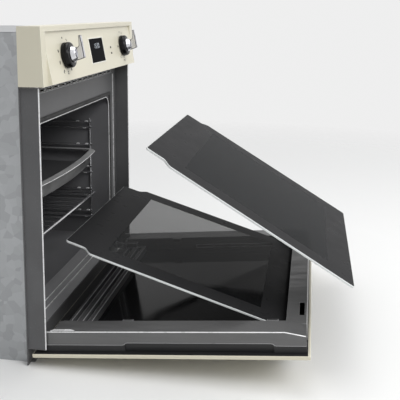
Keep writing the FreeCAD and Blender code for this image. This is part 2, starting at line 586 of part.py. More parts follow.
def hinges():
    arm_z = ("hinge_z - arm_high / 2", "hinge_z + arm_high / 2")
    nearest = "arm_inner - cheek_gap - cheek_wide"
    farthest = "arm_outer + cheek_gap + cheek_wide"
    receivers = []
    for side in SIDES:
        arm_x = span(side, "arm_inner", "arm_outer")
        bar = box(arm_x, ("hinge_y", "arm_back"), arm_z)
        eye = rod("x", arm_x, ("hinge_y", "hinge_z"), "eye_radius")
        bore = rod("x", span(side, "arm_inner - past", "arm_outer + past"), ("hinge_y", "hinge_z"),
                   "pin_radius + running_fit")
        pin_z = "hinge_z + latch_pin_up"
        pin_x = span(side, "arm_inner - lug_wide", "arm_outer + lug_wide")
        lugs = [box(span(side, *ends), ("latch_pin_y - lug_half", "latch_pin_y + lug_half"),
                    ("hinge_z - arm_high / 3", f"{pin_z} + lug_half"))
                for ends in (("arm_inner - lug_wide", "arm_inner"), ("arm_outer", "arm_outer + lug_wide"))]
        lug_bore = rod("x", pin_x, ("latch_pin_y", pin_z), "latch_pin_radius + running_fit")
        node(cut(fuse([bar, eye] + lugs), [bore, lug_bore]), f"hinge_arm_{side}")

        plate = box(span(side, "arm_inner + latch_side", "arm_outer - latch_side"),
                    ("latch_pin_y - latch_long", "latch_pin_y"),
                    (f"{pin_z} - latch_sheet / 2", f"{pin_z} + latch_sheet / 2"))
        pin = rod("x", pin_x, ("latch_pin_y", pin_z), "latch_pin_radius")
        node(fuse([plate, pin]), f"hinge_latch_{side}")

        block = box(span(side, "arm_inner - receiver_side", "body_width / 2 - casing_sheet"),
                    ("frame_sheet", "receiver_deep"),
                    ("hinge_z - arm_high", "hinge_z + arm_high + receiver_cap"))
        slot = box(arm_x, ("frame_sheet - past", "arm_back"), arm_z)
        receivers.append(cut(block, [slot]))

        cheeks = []
        for ends in ((nearest, "arm_inner - cheek_gap"), ("arm_outer + cheek_gap", farthest)):
            ends = span(side, *ends)
            cheeks.append(box(ends, (0, "cheek_deep"), (0, "cheek_long")))
            cheeks.append(rod("x", ends, (0, 0), "eye_radius"))
        case_y = ("profile_foot + profile_sheet", "cheek_deep")
        bridge = box(span(side, nearest, farthest), case_y, ("bridge_low", "cheek_long"))
        post = box(span(side, farthest, "profile_width / 2 - profile_sheet"), case_y,
                   ("bridge_low + bridge_end", "cheek_long - bridge_end"))
        pin = rod("x", span(side, nearest, farthest), (0, 0), "pin_radius")
        swing(fuse(cheeks + [bridge, post, pin]), f"door_hinge_{side}")
    node(group(receivers), "hinge_receivers")


def guides_tray_and_rack():
    upright = f"{CAVITY} - wall_gap - wire_radius"
    guide = f"{upright} - 2 * wire_radius + 0.2"
    for side in SIDES:
        wires = []
        top = "guide_first + 4 * guide_pitch + guide_pair + guide_head"
        for y in ("guide_front", "guide_back"):
            ends = ("guide_first - guide_foot", top)
            wires.append(rod("z", ends, (at_side(side, upright), y), "wire_radius"))
        for level in range(5):
            for lift in ("0", "guide_pair"):
                height = f"guide_first + {level} * guide_pitch + {lift}"
                ends = ("guide_front - guide_head", "guide_back + guide_head")
                wires.append(rod("y", ends, (at_side(side, guide), height), "wire_radius"))
        hooks = [rod("x", span(side, upright, CAVITY), (y, height), "wire_radius")
                 for y in ("guide_front", "guide_back")
                 for height in ("guide_first - guide_foot / 2", top + " - guide_head / 2")]
        node(fuse(wires + hooks), f"side_guide_{side}")

    flange_half = f"({upright} - wire_radius - slide_fit)"
    bow_radius = f"({flange_half} ^ 2 + tray_bow ^ 2) / (2 * tray_bow)"
    seat = "guide_first + 3 * guide_pitch + wire_radius + seat_gap"

    def tray_layer(inset, low, high):
        """The tray's plan, bowed at the front and drawn in by an inset, between two heights."""
        front = f"tray_front - tray_bow + {inset}"
        plan = box(about(f"{flange_half} - {inset}"), (front, f"tray_back - {inset}"),
                   (low, high))
        sweep = rod("z", (low, high), (0, f"{front} + {bow_radius}"), bow_radius)
        return common([plan, sweep])

    brim = tray_layer(0, seat, f"{seat} + tray_sheet")
    basin = tray_layer("tray_brim", f"{seat} - tray_deep", seat)
    hollow = tray_layer("tray_brim + tray_sheet", f"{seat} - tray_deep + tray_sheet", f"{seat} + 10")
    node(cut(fuse([brim, basin]), [hollow]), "baking_tray")

    side_x = f"{flange_half} - rack_bar"
    height = "guide_first + guide_pitch + wire_radius + seat_gap + rack_bar"
    bars = [rod("y", ("rack_front", "rack_back"), (at_side(side, side_x), height), "rack_bar")
            for side in SIDES]
    bars += [rod("x", about(side_x), (y, height), "rack_bar") for y in ("rack_front", "rack_back")]
    bars += [ball((at_side(side, side_x), y, height), "rack_bar") for side in SIDES
             for y in ("rack_front", "rack_back")]
    for i in range(SIZES["rack_rungs"]):
        x = f"({i + 1} / (rack_rungs + 1) * 2 - 1) * ({side_x})"
        bars.append(rod("y", ("rack_front", "rack_back"), (x, height), "rung_radius"))
    middle = ("(rack_front + rack_back) / 2", f"{height} - rung_radius")
    bars.append(rod("x", about(side_x), middle, "rack_bar - 1"))
    node(fuse(bars), "wire_rack")


def hot_air():
    rear = "fan_front + blade_deep"
    hub = rod("y", ("fan_front", rear), (0, "fan_z"), "fan_hub")
    plate = rod("y", (rear, f"{rear} + blade_sheet"), (0, "fan_z"), "fan_radius")
    blades = []
    for i in range(SIZES["blade_count"]):
        blade = box(("fan_hub - past", "fan_radius"), ("fan_front", rear), about("blade_sheet / 2"))
        holder = group([blade])
        turn = Rotation(Vector(0, 1, 0), i * 360 / SIZES["blade_count"])
        holder.Placement = FreeCAD.Placement(Vector(), turn)
        place(holder, 0, 0, "fan_z")
        blades.append(holder)
    shaft = rod("y", ("fan_front", "motor_front + 20"), (0, "fan_z"), "fan_shaft")
    node(fuse([hub, plate, shaft] + blades), "convection_fan")

    motor = rod("y", ("motor_front", "motor_front + motor_deep"), (0, "fan_z"), "motor_radius")
    foot = box(about("motor_radius + foot_half"), ("motor_front", "motor_front + casing_sheet"),
               ("fan_z - foot_half", "fan_z + foot_half"))
    bore = rod("y", ("motor_front - 2", "motor_front + 22"), (0, "fan_z"), "fan_shaft + running_fit")
    node(cut(fuse([motor, foot]), [bore]), "fan_motor")

    tube = "heater_tube"
    ring_y = "fan_front + blade_deep / 2"
    pieces = [open_ring((0, ring_y, "fan_z"), "ring_radius", tube, "ring_gap")]
    for x, z in (("ring_radius", "fan_z"),
                 ("ring_radius * cos(ring_gap)", "fan_z + ring_radius * sin(ring_gap)")):
        pieces += [rod("y", (ring_y, "cavity_back"), (x, z), tube), ball((x, ring_y, z), "heater_bead")]
    node(fuse(pieces), "ring_heater")

    wide = "cover_half"
    shell = box(about(wide), ("cover_front", "cavity_back"), (f"fan_z - {wide}", f"fan_z + {wide}"))
    inner = f"{wide} - casing_sheet"
    hollow = box(about(inner), ("cover_front + casing_sheet", "cavity_back + past"),
                 (f"fan_z - ({inner})", f"fan_z + {inner}"))
    through = ("cover_front - past", "cover_front + casing_sheet + past")
    slots = []
    for i, reach in enumerate((0.14, 0.26, 0.34, 0.39, 0.41, 0.39, 0.34, 0.26, 0.14)):
        x = f"{i - 4} * cover_pitch"
        slots.append(box((f"{x} - cover_slot / 2", f"{x} + cover_slot / 2"), through,
                         (f"fan_z - {reach} * cover_half", f"fan_z + {reach} * cover_half")))
    for side in SIDES:
        for level in (-0.78, -0.66, 0.66, 0.78):
            z = f"fan_z + {level} * cover_half"
            slots.append(box(span(side, "cover_half * 0.53", "cover_half * 0.87"), through,
                             (f"{z} - cover_slot / 2", f"{z} + cover_slot / 2")))
    node(cut(shell, [hollow] + slots), "fan_cover")

    z = "mouth_top - grill_drop"
    back = "cavity_back"
    wide = "cavity_width / 2 - grill_inset"
    half = f"({wide}) / 2"
    rear = f"{back} - grill_end"
    near = f"{rear} - grill_step"
    front = "grill_front"
    points = [("-grill_feed", back), ("-grill_feed", rear), (f"-({wide})", rear), (f"-({wide})", front),
              (f"-({half})", front), (f"-({half})", near), (0, near), (0, front), (half, front), (half, near),
              (wide, near), (wide, rear), ("grill_feed", rear), ("grill_feed", back)]
    node(bent_rod([(*point, z) for point in points], tube), "grill_element")
    z = "cavity_floor - liner_wall - heater_tube - seat_gap / 3"
    wide = "cavity_width / 2 - floor_inset"
    rear = f"{back} - floor_end"
    front = "floor_front"
    points = [("-floor_feed", back), ("-floor_feed", rear), (f"-({wide})", rear), (f"-({wide})", front),
              (wide, front), (wide, rear), ("floor_feed", rear), ("floor_feed", back)]
    node(bent_rod([(*point, z) for point in points], tube), "bottom_element")

    lamp = ("lamp_x", "lamp_z")
    lens = rod("y", (f"{back} - lens_deep", back), lamp, "lens_radius - lens_taper", "lens_radius")
    node(lens, "lamp_lens")
    outside = f"{back} + liner_wall"
    node(rod("y", (outside, f"{outside} + holder_deep"), lamp, "lens_radius"), "lamp_holder")


def blower_and_supply():
    y = "blower_y"
    z = "blower_z"
    half = "blower_half"
    low = "mouth_top + liner_wall + wool_thick"
    outer = box(about(f"{half} + blower_side"), (f"{y} - blower_case - blower_mouth", f"{y} + blower_case"),
                (low, f"{z} + blower_case"))
    hollow = box(about(f"{half} + blower_side - blower_wall"),
                 (f"{y} - blower_case - blower_mouth - past", f"{y} + blower_case - blower_wall"),
                 (f"{low} + blower_wall", f"{z} + blower_case - blower_wall"))
    bore = rod("x", about(f"{half} + blower_side + past"), (y, z), "fan_shaft + running_fit")
    node(cut(outer, [hollow, bore]), "blower_housing")
    discs = [rod("x", span(side, f"{half} - blade_sheet", half), (y, z), "blower_radius") for side in SIDES]
    shaft = rod("x", (f"-({half} + blower_side - seat_gap)", f"{half} + blower_shaft"), (y, z), "fan_shaft")
    blades = []
    for i in range(SIZES["blower_blades"]):
        blade = box(about(f"{half} - blade_sheet / 2"),
                    ("blower_radius - blade_wide", "blower_radius - seat_gap"), about("blade_sheet / 2"))
        holder = group([blade])
        turn = Rotation(Vector(1, 0, 0), i * 360 / SIZES["blower_blades"])
        holder.Placement = FreeCAD.Placement(Vector(), turn)
        place(holder, 0, y, z)
        blades.append(holder)
    node(fuse(discs + [shaft] + blades), "blower_wheel")
    start = f"{half} + blower_side"
    motor = rod("x", (start, f"{start} + blower_motor_long"), (y, z), "blower_radius")
    bore = rod("x", (f"{start} - past", f"{half} + blower_shaft + past"), (y, z), "fan_shaft + running_fit")
    node(cut(motor, [bore]), "blower_motor")

    front = "body_back - block_size"
    block = box(("gland_x - block_half", "gland_x + block_half"), (front, "body_back"),
                ("gland_z + block_size", "gland_z + 2 * block_size"))
    wells = [rod("y", (f"{front} - past", f"{front} + well_deep"),
                 (f"gland_x + {i} * well_pitch", "gland_z + 1.5 * block_size"), "well_radius")
             for i in (-1, 0, 1)]
    node(cut(block, wells), "terminal_block")
    outside = "body_back + casing_sheet"
    spot = ("gland_x", "gland_z")
    ends = ("body_back - gland_in", f"{outside} + gland_out")
    barrel = rod("y", ends, spot, "gland_radius")
    nut = rod("y", (outside, f"{outside} + gland_nut"), spot, "gland_radius + gland_nut")
    bore = rod("y", ends, spot, "gland_bore")
    node(cut(fuse([barrel, nut]), [bore]), "cable_gland")


def screws():
    """Pan-head screws that hold the rear cover and the fan cover, as one set."""
    rear = "body_back + casing_sheet"
    heads = []
    for side in SIDES:
        x = at_side(side, "body_width / 2 - screw_inset")
        for z in ("screw_edge", "casing_top / 3", "casing_top * 2 / 3", "casing_top - screw_edge"):
            heads.append(rod("y", (rear, f"{rear} + screw_head"), (x, z), "screw_radius"))
        x = at_side(side, "cover_half - screw_inset")
        for z in ("fan_z - cover_half + screw_inset", "fan_z + cover_half - screw_inset"):
            heads.append(rod("y", ("cover_front - screw_head", "cover_front"), (x, z), "screw_radius"))
    node(group(heads), "cover_screws")


casing()
front_frame()
cavity()
panel()
knobs()
door()
pane("inner_glass", ("inner_rest_y", "inner_rest_z", "inner_rest_tilt"))
pane("middle_glass", ("middle_rest_y", "middle_rest_z", "middle_rest_tilt"))
hinges()
guides_tray_and_rack()
hot_air()
blower_and_supply()
screws()

doc.recompute()
faulty = [item.Name for item in doc.Objects if {"Invalid", "Error"} & set(item.State)]
assert not faulty, f"failed objects: {faulty}"
for item in nodes:
    assert not item.Shape.isNull() and item.Shape.isValid(), f"bad shape: {item.Label}"
for item in nodes:
    item.Shape.exportStep(f"parts/{item.Label}.step")
print(len(nodes), "pieces written")
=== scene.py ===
"""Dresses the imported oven: bevelled sheet metal, enamel, glass panes, knobs, dial marks and a clock."""
import json
import math
from contextlib import contextmanager

import bmesh
import bpy
from mathutils import Matrix, Vector

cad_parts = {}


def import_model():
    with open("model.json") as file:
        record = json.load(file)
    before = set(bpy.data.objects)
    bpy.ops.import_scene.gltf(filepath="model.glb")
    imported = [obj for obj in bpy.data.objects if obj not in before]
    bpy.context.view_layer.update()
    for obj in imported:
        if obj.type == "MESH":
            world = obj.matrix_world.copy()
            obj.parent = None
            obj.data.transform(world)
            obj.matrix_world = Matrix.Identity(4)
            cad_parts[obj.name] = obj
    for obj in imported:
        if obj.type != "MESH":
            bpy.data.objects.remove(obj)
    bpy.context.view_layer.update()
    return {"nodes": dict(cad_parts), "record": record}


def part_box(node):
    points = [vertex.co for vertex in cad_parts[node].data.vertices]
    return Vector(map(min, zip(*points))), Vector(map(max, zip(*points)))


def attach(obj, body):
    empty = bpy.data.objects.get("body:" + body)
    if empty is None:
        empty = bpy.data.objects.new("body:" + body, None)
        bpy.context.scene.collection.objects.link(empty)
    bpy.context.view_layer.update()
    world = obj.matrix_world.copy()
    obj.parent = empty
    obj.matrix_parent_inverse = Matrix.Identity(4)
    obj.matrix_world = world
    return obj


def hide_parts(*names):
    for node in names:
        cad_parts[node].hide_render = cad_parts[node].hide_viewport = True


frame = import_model()
scene = bpy.context.scene
nodes = frame["nodes"]
record = frame["record"]
body_of = {name: body for body, names in record["behaviour"]["bodies"].items() for name in names}
slot_of = {row["node"]: row["material_slot"] for row in record["subparts"]}
joint_of = {joint["name"]: joint for joint in record["behaviour"]["joints"]}
MM = 0.001
SIDES = (("left", -1), ("right", 1))


# Colours and shader nodes

def linear(*rgb):
    """Linear colour from 0-255 display values."""
    def channel(value):
        c = value / 255
        return c / 12.92 if c <= 0.04045 else ((c + 0.055) / 1.055) ** 2.4
    return (*[channel(value) for value in rgb], 1.0)


def shade(colour, factor):
    """A colour made darker or lighter by a factor."""
    return (*[min(1.0, c * factor) for c in colour[:3]], 1.0)


def make_material(name):
    """A new material with its node tree and its shader."""
    material = bpy.data.materials.new(name)
    material.use_nodes = True
    tree = material.node_tree
    return material, tree, tree.nodes["Principled BSDF"]


def object_space(tree):
    """Coordinates that go with the piece."""
    return tree.nodes.new("ShaderNodeTexCoord").outputs["Object"]


def noise(tree, scale, detail=4.0, stretch=None):
    """A noise pattern, stretched along axes where asked."""
    source = object_space(tree)
    if stretch:
        mapping = tree.nodes.new("ShaderNodeMapping")
        mapping.inputs["Scale"].default_value = stretch
        tree.links.new(source, mapping.inputs["Vector"])
        source = mapping.outputs["Vector"]
    texture = tree.nodes.new("ShaderNodeTexNoise")
    texture.inputs["Scale"].default_value = scale
    texture.inputs["Detail"].default_value = detail
    tree.links.new(source, texture.inputs["Vector"])
    return texture.outputs["Fac"]


def cells(tree, scale):
    """A pattern of cells."""
    texture = tree.nodes.new("ShaderNodeTexVoronoi")
    texture.inputs["Scale"].default_value = scale
    tree.links.new(object_space(tree), texture.inputs["Vector"])
    return texture


def spread(tree, factor, low, high, start=0.3, end=0.7):
    """Maps a factor between start and end onto a range of numbers."""
    node = tree.nodes.new("ShaderNodeMapRange")
    node.inputs["From Min"].default_value = start
    node.inputs["From Max"].default_value = end
    node.inputs["To Min"].default_value = low
    node.inputs["To Max"].default_value = high
    tree.links.new(factor, node.inputs["Value"])
    return node.outputs["Result"]


def mix_node(tree, factor):
    """A node that mixes two colours by a factor."""
    node = tree.nodes.new("ShaderNodeMix")
    node.data_type = "RGBA"
    tree.links.new(factor, node.inputs["Factor"])
    return node


def blend(tree, factor, first, second):
    """A colour between two colours."""
    node = mix_node(tree, factor)
    node.inputs["A"].default_value = first
    node.inputs["B"].default_value = second
    return node.outputs["Result"]


def bump(tree, shader, height, distance, strength=0.4):
    """Fine relief, with its depth in metres."""
    node = tree.nodes.new("ShaderNodeBump")
    node.inputs["Strength"].default_value = strength
    node.inputs["Distance"].default_value = distance
    tree.links.new(height, node.inputs["Height"])
    tree.links.new(node.outputs["Normal"], shader.inputs["Normal"])


# Kinds of material

def enamel(name, colour, rough, coat=0.0, specks=None, cloud=0.08, depth=0.000008, gloss=0.5):
    """A painted or enamelled surface: soft clouding, fine orange-peel and, where asked, light specks."""
    material, tree, shader = make_material(name)
    clouds = noise(tree, scale=14.0, detail=3.0)
    tint = blend(tree, spread(tree, clouds, 0.0, 1.0), shade(colour, 1 - cloud), shade(colour, 1 + cloud))
    if specks:
        dots = cells(tree, scale=260.0).outputs["Distance"]
        mix = mix_node(tree, spread(tree, dots, 1.0, 0.0, start=0.06, end=0.13))
        tree.links.new(tint, mix.inputs["A"])
        mix.inputs["B"].default_value = specks
        tint = mix.outputs["Result"]
    tree.links.new(tint, shader.inputs["Base Color"])
    tree.links.new(spread(tree, clouds, rough * 0.94, rough * 1.06), shader.inputs["Roughness"])
    shader.inputs["Coat Weight"].default_value = coat
    shader.inputs["Coat Roughness"].default_value = 0.12
    shader.inputs["Specular IOR Level"].default_value = gloss
    bump(tree, shader, noise(tree, scale=900.0, detail=2.0), depth)
    return material


def metal(name, colour, rough, stretch=None, scale=60.0, depth=0.00003, metallic=1.0):
    """Bare or plated metal, brushed where a stretch is given."""
    material, tree, shader = make_material(name)
    lines = noise(tree, scale, detail=6.0, stretch=stretch)
    tint = blend(tree, spread(tree, lines, 0.0, 1.0), shade(colour, 0.88), shade(colour, 1.08))
    tree.links.new(tint, shader.inputs["Base Color"])
    tree.links.new(spread(tree, lines, rough * 0.75, rough * 1.3), shader.inputs["Roughness"])
    shader.inputs["Metallic"].default_value = metallic
    bump(tree, shader, lines, depth, strength=0.3)
    return material


def galvanised(name, colour):
    """Zinc-coated sheet with its patches of crystals."""
    material, tree, shader = make_material(name)
    tone = tree.nodes.new("ShaderNodeSeparateColor")
    tree.links.new(cells(tree, scale=70.0).outputs["Color"], tone.inputs["Color"])
    patch = tone.outputs["Red"]
    tint = blend(tree, patch, shade(colour, 0.86), shade(colour, 1.1))
    tree.links.new(tint, shader.inputs["Base Color"])
    tree.links.new(spread(tree, patch, 0.3, 0.46, start=0.0, end=1.0), shader.inputs["Roughness"])
    shader.inputs["Metallic"].default_value = 0.9
    bump(tree, shader, noise(tree, scale=400.0), 0.00002)
    return material


def plastic(name, colour, rough, grain=1600.0, depth=0.000008, gloss=0.5):
    """A moulded or printed surface with a fine grain."""
    material, tree, shader = make_material(name)
    wide = noise(tree, scale=30.0)
    tint = blend(tree, wide, shade(colour, 0.85), shade(colour, 1.15))
    tree.links.new(tint, shader.inputs["Base Color"])
    tree.links.new(spread(tree, wide, rough * 0.85, rough * 1.2), shader.inputs["Roughness"])
    shader.inputs["Specular IOR Level"].default_value = gloss
    bump(tree, shader, noise(tree, scale=grain, detail=2.0), depth)
    return material


def glass(name, colour, alpha, rough=0.04, gloss=0.5):
    """Tinted glass, part see-through, with faint smears in its gloss."""
    material, tree, shader = make_material(name)
    smears = noise(tree, scale=9.0, detail=5.0, stretch=(1.0, 1.0, 3.0))
    tint = blend(tree, smears, shade(colour, 0.9), shade(colour, 1.1))
    tree.links.new(tint, shader.inputs["Base Color"])
    tree.links.new(spread(tree, smears, rough, rough * 2.2), shader.inputs["Roughness"])
    shader.inputs["Alpha"].default_value = alpha
    shader.inputs["Specular IOR Level"].default_value = gloss
    shader.inputs["IOR"].default_value = 1.5
    return material


def glowing(name, colour, strength):
    """Lit segments of a display."""
    material, tree, shader = make_material(name)
    tint = blend(tree, noise(tree, scale=300.0), shade(colour, 0.9), colour)
    tree.links.new(tint, shader.inputs["Base Color"])
    shader.inputs["Roughness"].default_value = 0.4
    shader.inputs["Emission Color"].default_value = colour
    shader.inputs["Emission Strength"].default_value = strength
    return material


def wool(name, colour):
    """Matted mineral fibres."""
    material, tree, shader = make_material(name)
    fibres = noise(tree, scale=120.0, detail=10.0, stretch=(1.0, 3.0, 1.0))
    tint = blend(tree, fibres, shade(colour, 0.6), shade(colour, 1.2))
    tree.links.new(tint, shader.inputs["Base Color"])
    shader.inputs["Roughness"].default_value = 0.95
    bump(tree, shader, fibres, 0.002, strength=0.8)
    return material


# The finishes of the record's slots, and those of parts of a piece, among them the painted highlights,
# reflection and shade

BRUSHED_X = (0.15, 1.0, 1.0)
BRUSHED_Y = (1.0, 0.12, 1.0)
MATERIALS = {
    "cream_enamel": enamel("cream_enamel", linear(216, 211, 192), 0.3, gloss=0.25, cloud=0.01,
                           depth=0.000003),
    "galvanised": galvanised("galvanised_sheet", linear(168, 170, 172)),
    "grey_enamel": enamel("cavity_enamel", linear(114, 114, 116), 0.34, gloss=0.3,
                          specks=linear(140, 140, 142)),
    "frame_steel": enamel("frame_enamel", linear(98, 98, 99), 0.36, gloss=0.1, specks=linear(126, 126, 127)),
    "profile_grey": metal("profile_steel", linear(106, 106, 106), 0.42, BRUSHED_Y, scale=90.0, metallic=0.35),
    # The tray's steel is darkened: painted shade on its outside walls
    "tray_steel": metal("tray_steel", linear(94, 94, 94), 0.36, BRUSHED_X, scale=80.0, metallic=0.4),
    "wire_chrome": metal("wire_chrome", linear(216, 216, 218), 0.18, scale=200.0, metallic=0.88),
    "chrome": metal("polished_chrome", linear(218, 218, 222), 0.12, scale=120.0, depth=0.00001,
                    metallic=0.75),
    "black_plastic": plastic("black_gloss", linear(16, 16, 17), 0.16, depth=0.00001, gloss=0.2),
    "dark_plastic": plastic("dark_moulding", linear(42, 42, 43), 0.5),
    "seal_rubber": plastic("seal_rubber", linear(38, 38, 38), 0.75, grain=700.0, depth=0.0002),
    "wool": wool("mineral_wool", linear(200, 186, 140)),
    "glass": glass("pane_glass", linear(38, 39, 40), 0.89, gloss=0.006),
    "display": glass("display_glass", linear(12, 12, 14), 1.0, rough=0.06, gloss=0.004),
    "lamp_glass": glass("lamp_glass", linear(225, 222, 210), 0.7, rough=0.25),
    "lamp_dot": plastic("lamp_dot", linear(14, 12, 10), 0.5),
    "board": plastic("circuit_board", linear(38, 92, 56), 0.5),
    "heater": metal("heater_tube", linear(96, 92, 88), 0.45, scale=150.0, metallic=0.8),
    "motor": enamel("motor_lacquer", linear(112, 113, 116), 0.4),
    "hinge_steel": metal("zinc_plate", linear(206, 207, 210), 0.26, scale=110.0, metallic=0.45),
}
OUTER_GLASS = glass("outer_glass", linear(26, 26, 27), 0.97, rough=0.05, gloss=0.06)
MIDDLE_GLASS = glass("middle_pane_glass", linear(30, 31, 32), 0.53, gloss=0.03)
PRINT = plastic("printed_border", linear(44, 44, 45), 0.3, depth=0.000001, gloss=0.012)
PANE_EDGE = enamel("ground_edge", linear(222, 225, 224), 0.35, cloud=0.06)
# A paler, coated copy of the cream: a painted highlight on the control panel's edges and on the display bezel
CREAM_PAINTED_HIGHLIGHT = enamel("painted_highlight_cream", linear(246, 243, 232), 0.2, coat=0.5, cloud=0.02, depth=0.000003)
# Near-white: a painted highlight on rounded edges, on the frame's rims and on the beads along edges
BRIGHT_PAINTED_HIGHLIGHT = metal("painted_highlight_bright", linear(236, 236, 236), 0.3, metallic=0.2)
# Light grey: a softer painted highlight on rounded edges and along the profiles' feet
SOFT_PAINTED_HIGHLIGHT = metal("painted_highlight_soft", linear(150, 150, 151), 0.35, metallic=0.3)
# Dark chrome: a painted dark reflection on the rounded edges of the knob levers
CHROME_PAINTED_REFLECTION = metal("painted_dark_reflection_chrome", linear(84, 84, 88), 0.2, scale=120.0, depth=0.00001, metallic=0.9)
# A pale copy of the tray's steel: a painted highlight on the top of the brim
TRAY_BRIM_HIGHLIGHT = metal("tray_brim", linear(176, 176, 176), 0.36, BRUSHED_X, scale=80.0, metallic=0.2)
# Dark grey: painted shade in the tray's basin
TRAY_BASIN_SHADE = enamel("painted_shade_tray_basin", linear(74, 74, 75), 0.4, cloud=0.1)
# Near-black: the dark inner side of the door's outer panel, and painted shade behind the profiles' slots and
# in the reliefs of their feet
DARK_PAINT_AND_SHADE = enamel("dark_paint_and_painted_shade", linear(34, 34, 35), 0.35, cloud=0.05)
DIAL_INK = plastic("dial_ink", linear(22, 20, 18), 0.5, depth=0.00001)
CLOCK = glowing("clock_segments", linear(206, 212, 220), 0.6)


# Pieces and their meshes

def piece(name, mesh, body, slot, *replaced):
    """A new piece that rides on a body and takes the place of CAD nodes where named."""
    obj = bpy.data.objects.new(name, mesh)
    scene.collection.objects.link(obj)
    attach(obj, body)
    if replaced:
        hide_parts(*replaced)
    return obj


def smooth(obj, angle=35.0):
    """Smooth shading, with sharp edges where faces meet at more than an angle."""
    obj.data.polygons.foreach_set("use_smooth", [True] * len(obj.data.polygons))
    obj.data.set_sharp_from_angle(angle=math.radians(angle))


def bevel(obj, width, segments=2, angle=35.0, edge=-1):
    """Rounded edges, in the material slot that edge names."""
    modifier = obj.modifiers.new("edges", "BEVEL")
    modifier.material = edge
    modifier.limit_method = "ANGLE"
    modifier.angle_limit = math.radians(angle)
    modifier.width = width
    modifier.segments = segments
    modifier.use_clamp_overlap = True
    modifier.harden_normals = True


@contextmanager
def editing(mesh):
    """A mesh opened for editing, and written back at the end."""
    work = bmesh.new()
    work.from_mesh(mesh)
    yield work
    work.to_mesh(mesh)
    work.free()


def cut(work, place, normal):
    """Adds edges where a plane crosses a mesh."""
    geometry = [*work.verts, *work.edges, *work.faces]
    bmesh.ops.bisect_plane(work, geom=geometry, dist=0.001 * MM, plane_co=place, plane_no=normal)


def outward(mesh):
    """Turns all faces of a mesh outward."""
    with editing(mesh) as work:
        bmesh.ops.recalc_face_normals(work, faces=work.faces)


def mesh_from(name, verts, faces, material):
    """A mesh from points in metres."""
    mesh = bpy.data.meshes.new(name)
    mesh.from_pydata([tuple(vert) for vert in verts], [], faces)
    mesh.materials.append(material)
    mesh.update()
    return mesh


def mesh_of(curve):
    """The mesh of a curve or text, which is then deleted."""
    holder = bpy.data.objects.new(curve.name + "_holder", curve)
    scene.collection.objects.link(holder)
    bpy.context.view_layer.update()
    shown = holder.evaluated_get(bpy.context.evaluated_depsgraph_get())
    mesh = bpy.data.meshes.new_from_object(shown)
    bpy.data.objects.remove(holder)
    bpy.data.curves.remove(curve)
    return mesh


def bands(rings, count):
    """Faces between closed rings of points that follow one another, each with the same count."""
    faces = []
    for ring in range(rings - 1):
        for i in range(count):
            a, b = ring * count + i, ring * count + (i + 1) % count
            faces.append((a, b, b + count, a + count))
    return faces


def lathe(profile, steps):
    """Verts and faces of a shape turned about the Y axis from (radius, y) points, closed at both ends."""
    verts = []
    for radius, y in profile:
        for i in range(steps):
            turn = 2 * math.pi * i / steps
            verts.append(Vector((radius * math.cos(turn), y, radius * math.sin(turn))))
    last = len(verts) - steps
    caps = [tuple(range(steps)), tuple(reversed(range(last, last + steps)))]
    return verts, bands(len(profile), steps) + caps


def prism(outline, low, high):
    """Verts and faces of an outline in two coordinates, drawn out along the third between low and high."""
    count = len(outline)
    verts = [(a, b, low) for a, b in outline] + [(a, b, high) for a, b in outline]
    caps = [tuple(reversed(range(count))), tuple(range(count, 2 * count))]
    return verts, caps + bands(2, count)


def arc(centre, radius, start, end, steps):
    """Points along an arc between two angles in degrees."""
    points = []
    for i in range(steps + 1):
        angle = math.radians(start + (end - start) * i / steps)
        points.append((centre[0] + radius * math.cos(angle), centre[1] + radius * math.sin(angle)))
    return points


def mirrored(points):
    """The same points on the other side of x = 0, in reverse order."""
    return [(-x, *rest) for x, *rest in reversed(points)]


def box_of(node):
    """The lowest and the highest coordinates of a node in the oven's frame, in millimetres."""
    return [Vector(corner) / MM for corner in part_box(node)]


def box_in(node, place):
    """The lowest and the highest coordinates of a node in a turned frame, in millimetres."""
    back = place.inverted()
    spots = [back @ vert.co / MM for vert in nodes[node].data.vertices]
    return [Vector([limit(spot[axis] for spot in spots) for axis in range(3)]) for limit in (min, max)]


def beads(name, lines, radius, body, slot, material, place=Matrix()):
    """Round beads of metal along lines of points in millimetres, as one piece."""
    curve = bpy.data.curves.new(name + "_path", "CURVE")
    curve.dimensions = "3D"
    curve.bevel_depth = radius * MM
    curve.bevel_resolution = 3
    curve.use_fill_caps = True
    for points in lines:
        line = curve.splines.new("POLY")
        line.points.add(len(points) - 1)
        for point, spot in zip(line.points, points):
            point.co = (*(place @ (Vector(spot) * MM)), 1)
    mesh = mesh_of(curve)
    mesh.materials.clear()
    mesh.materials.append(material)
    smooth(piece(name, mesh, body, slot))


def bead(name, points, radius, body, slot, material, place=Matrix()):
    """One round bead of metal."""
    beads(name, [points], radius, body, slot, material, place)


def plate(name, x, y, z, place, width, body, slot, material):
    """A plate with softened edges between two limits in millimetres along each axis."""
    outline = [(x[0], z[0]), (x[1], z[0]), (x[1], z[1]), (x[0], z[1])]
    verts, faces = prism(outline, *y)
    spots = [place @ (Vector((a, c, b)) * MM) for a, b, c in verts]
    mesh = mesh_from(name + "_mesh", spots, faces, material)
    outward(mesh)
    obj = piece(name, mesh, body, slot)
    smooth(obj)
    bevel(obj, width * MM, segments=1)


# Dressing a node: the width in millimetres and the segments of its rounded edges, and their finish, which for
# most nodes in EDGES is a painted highlight

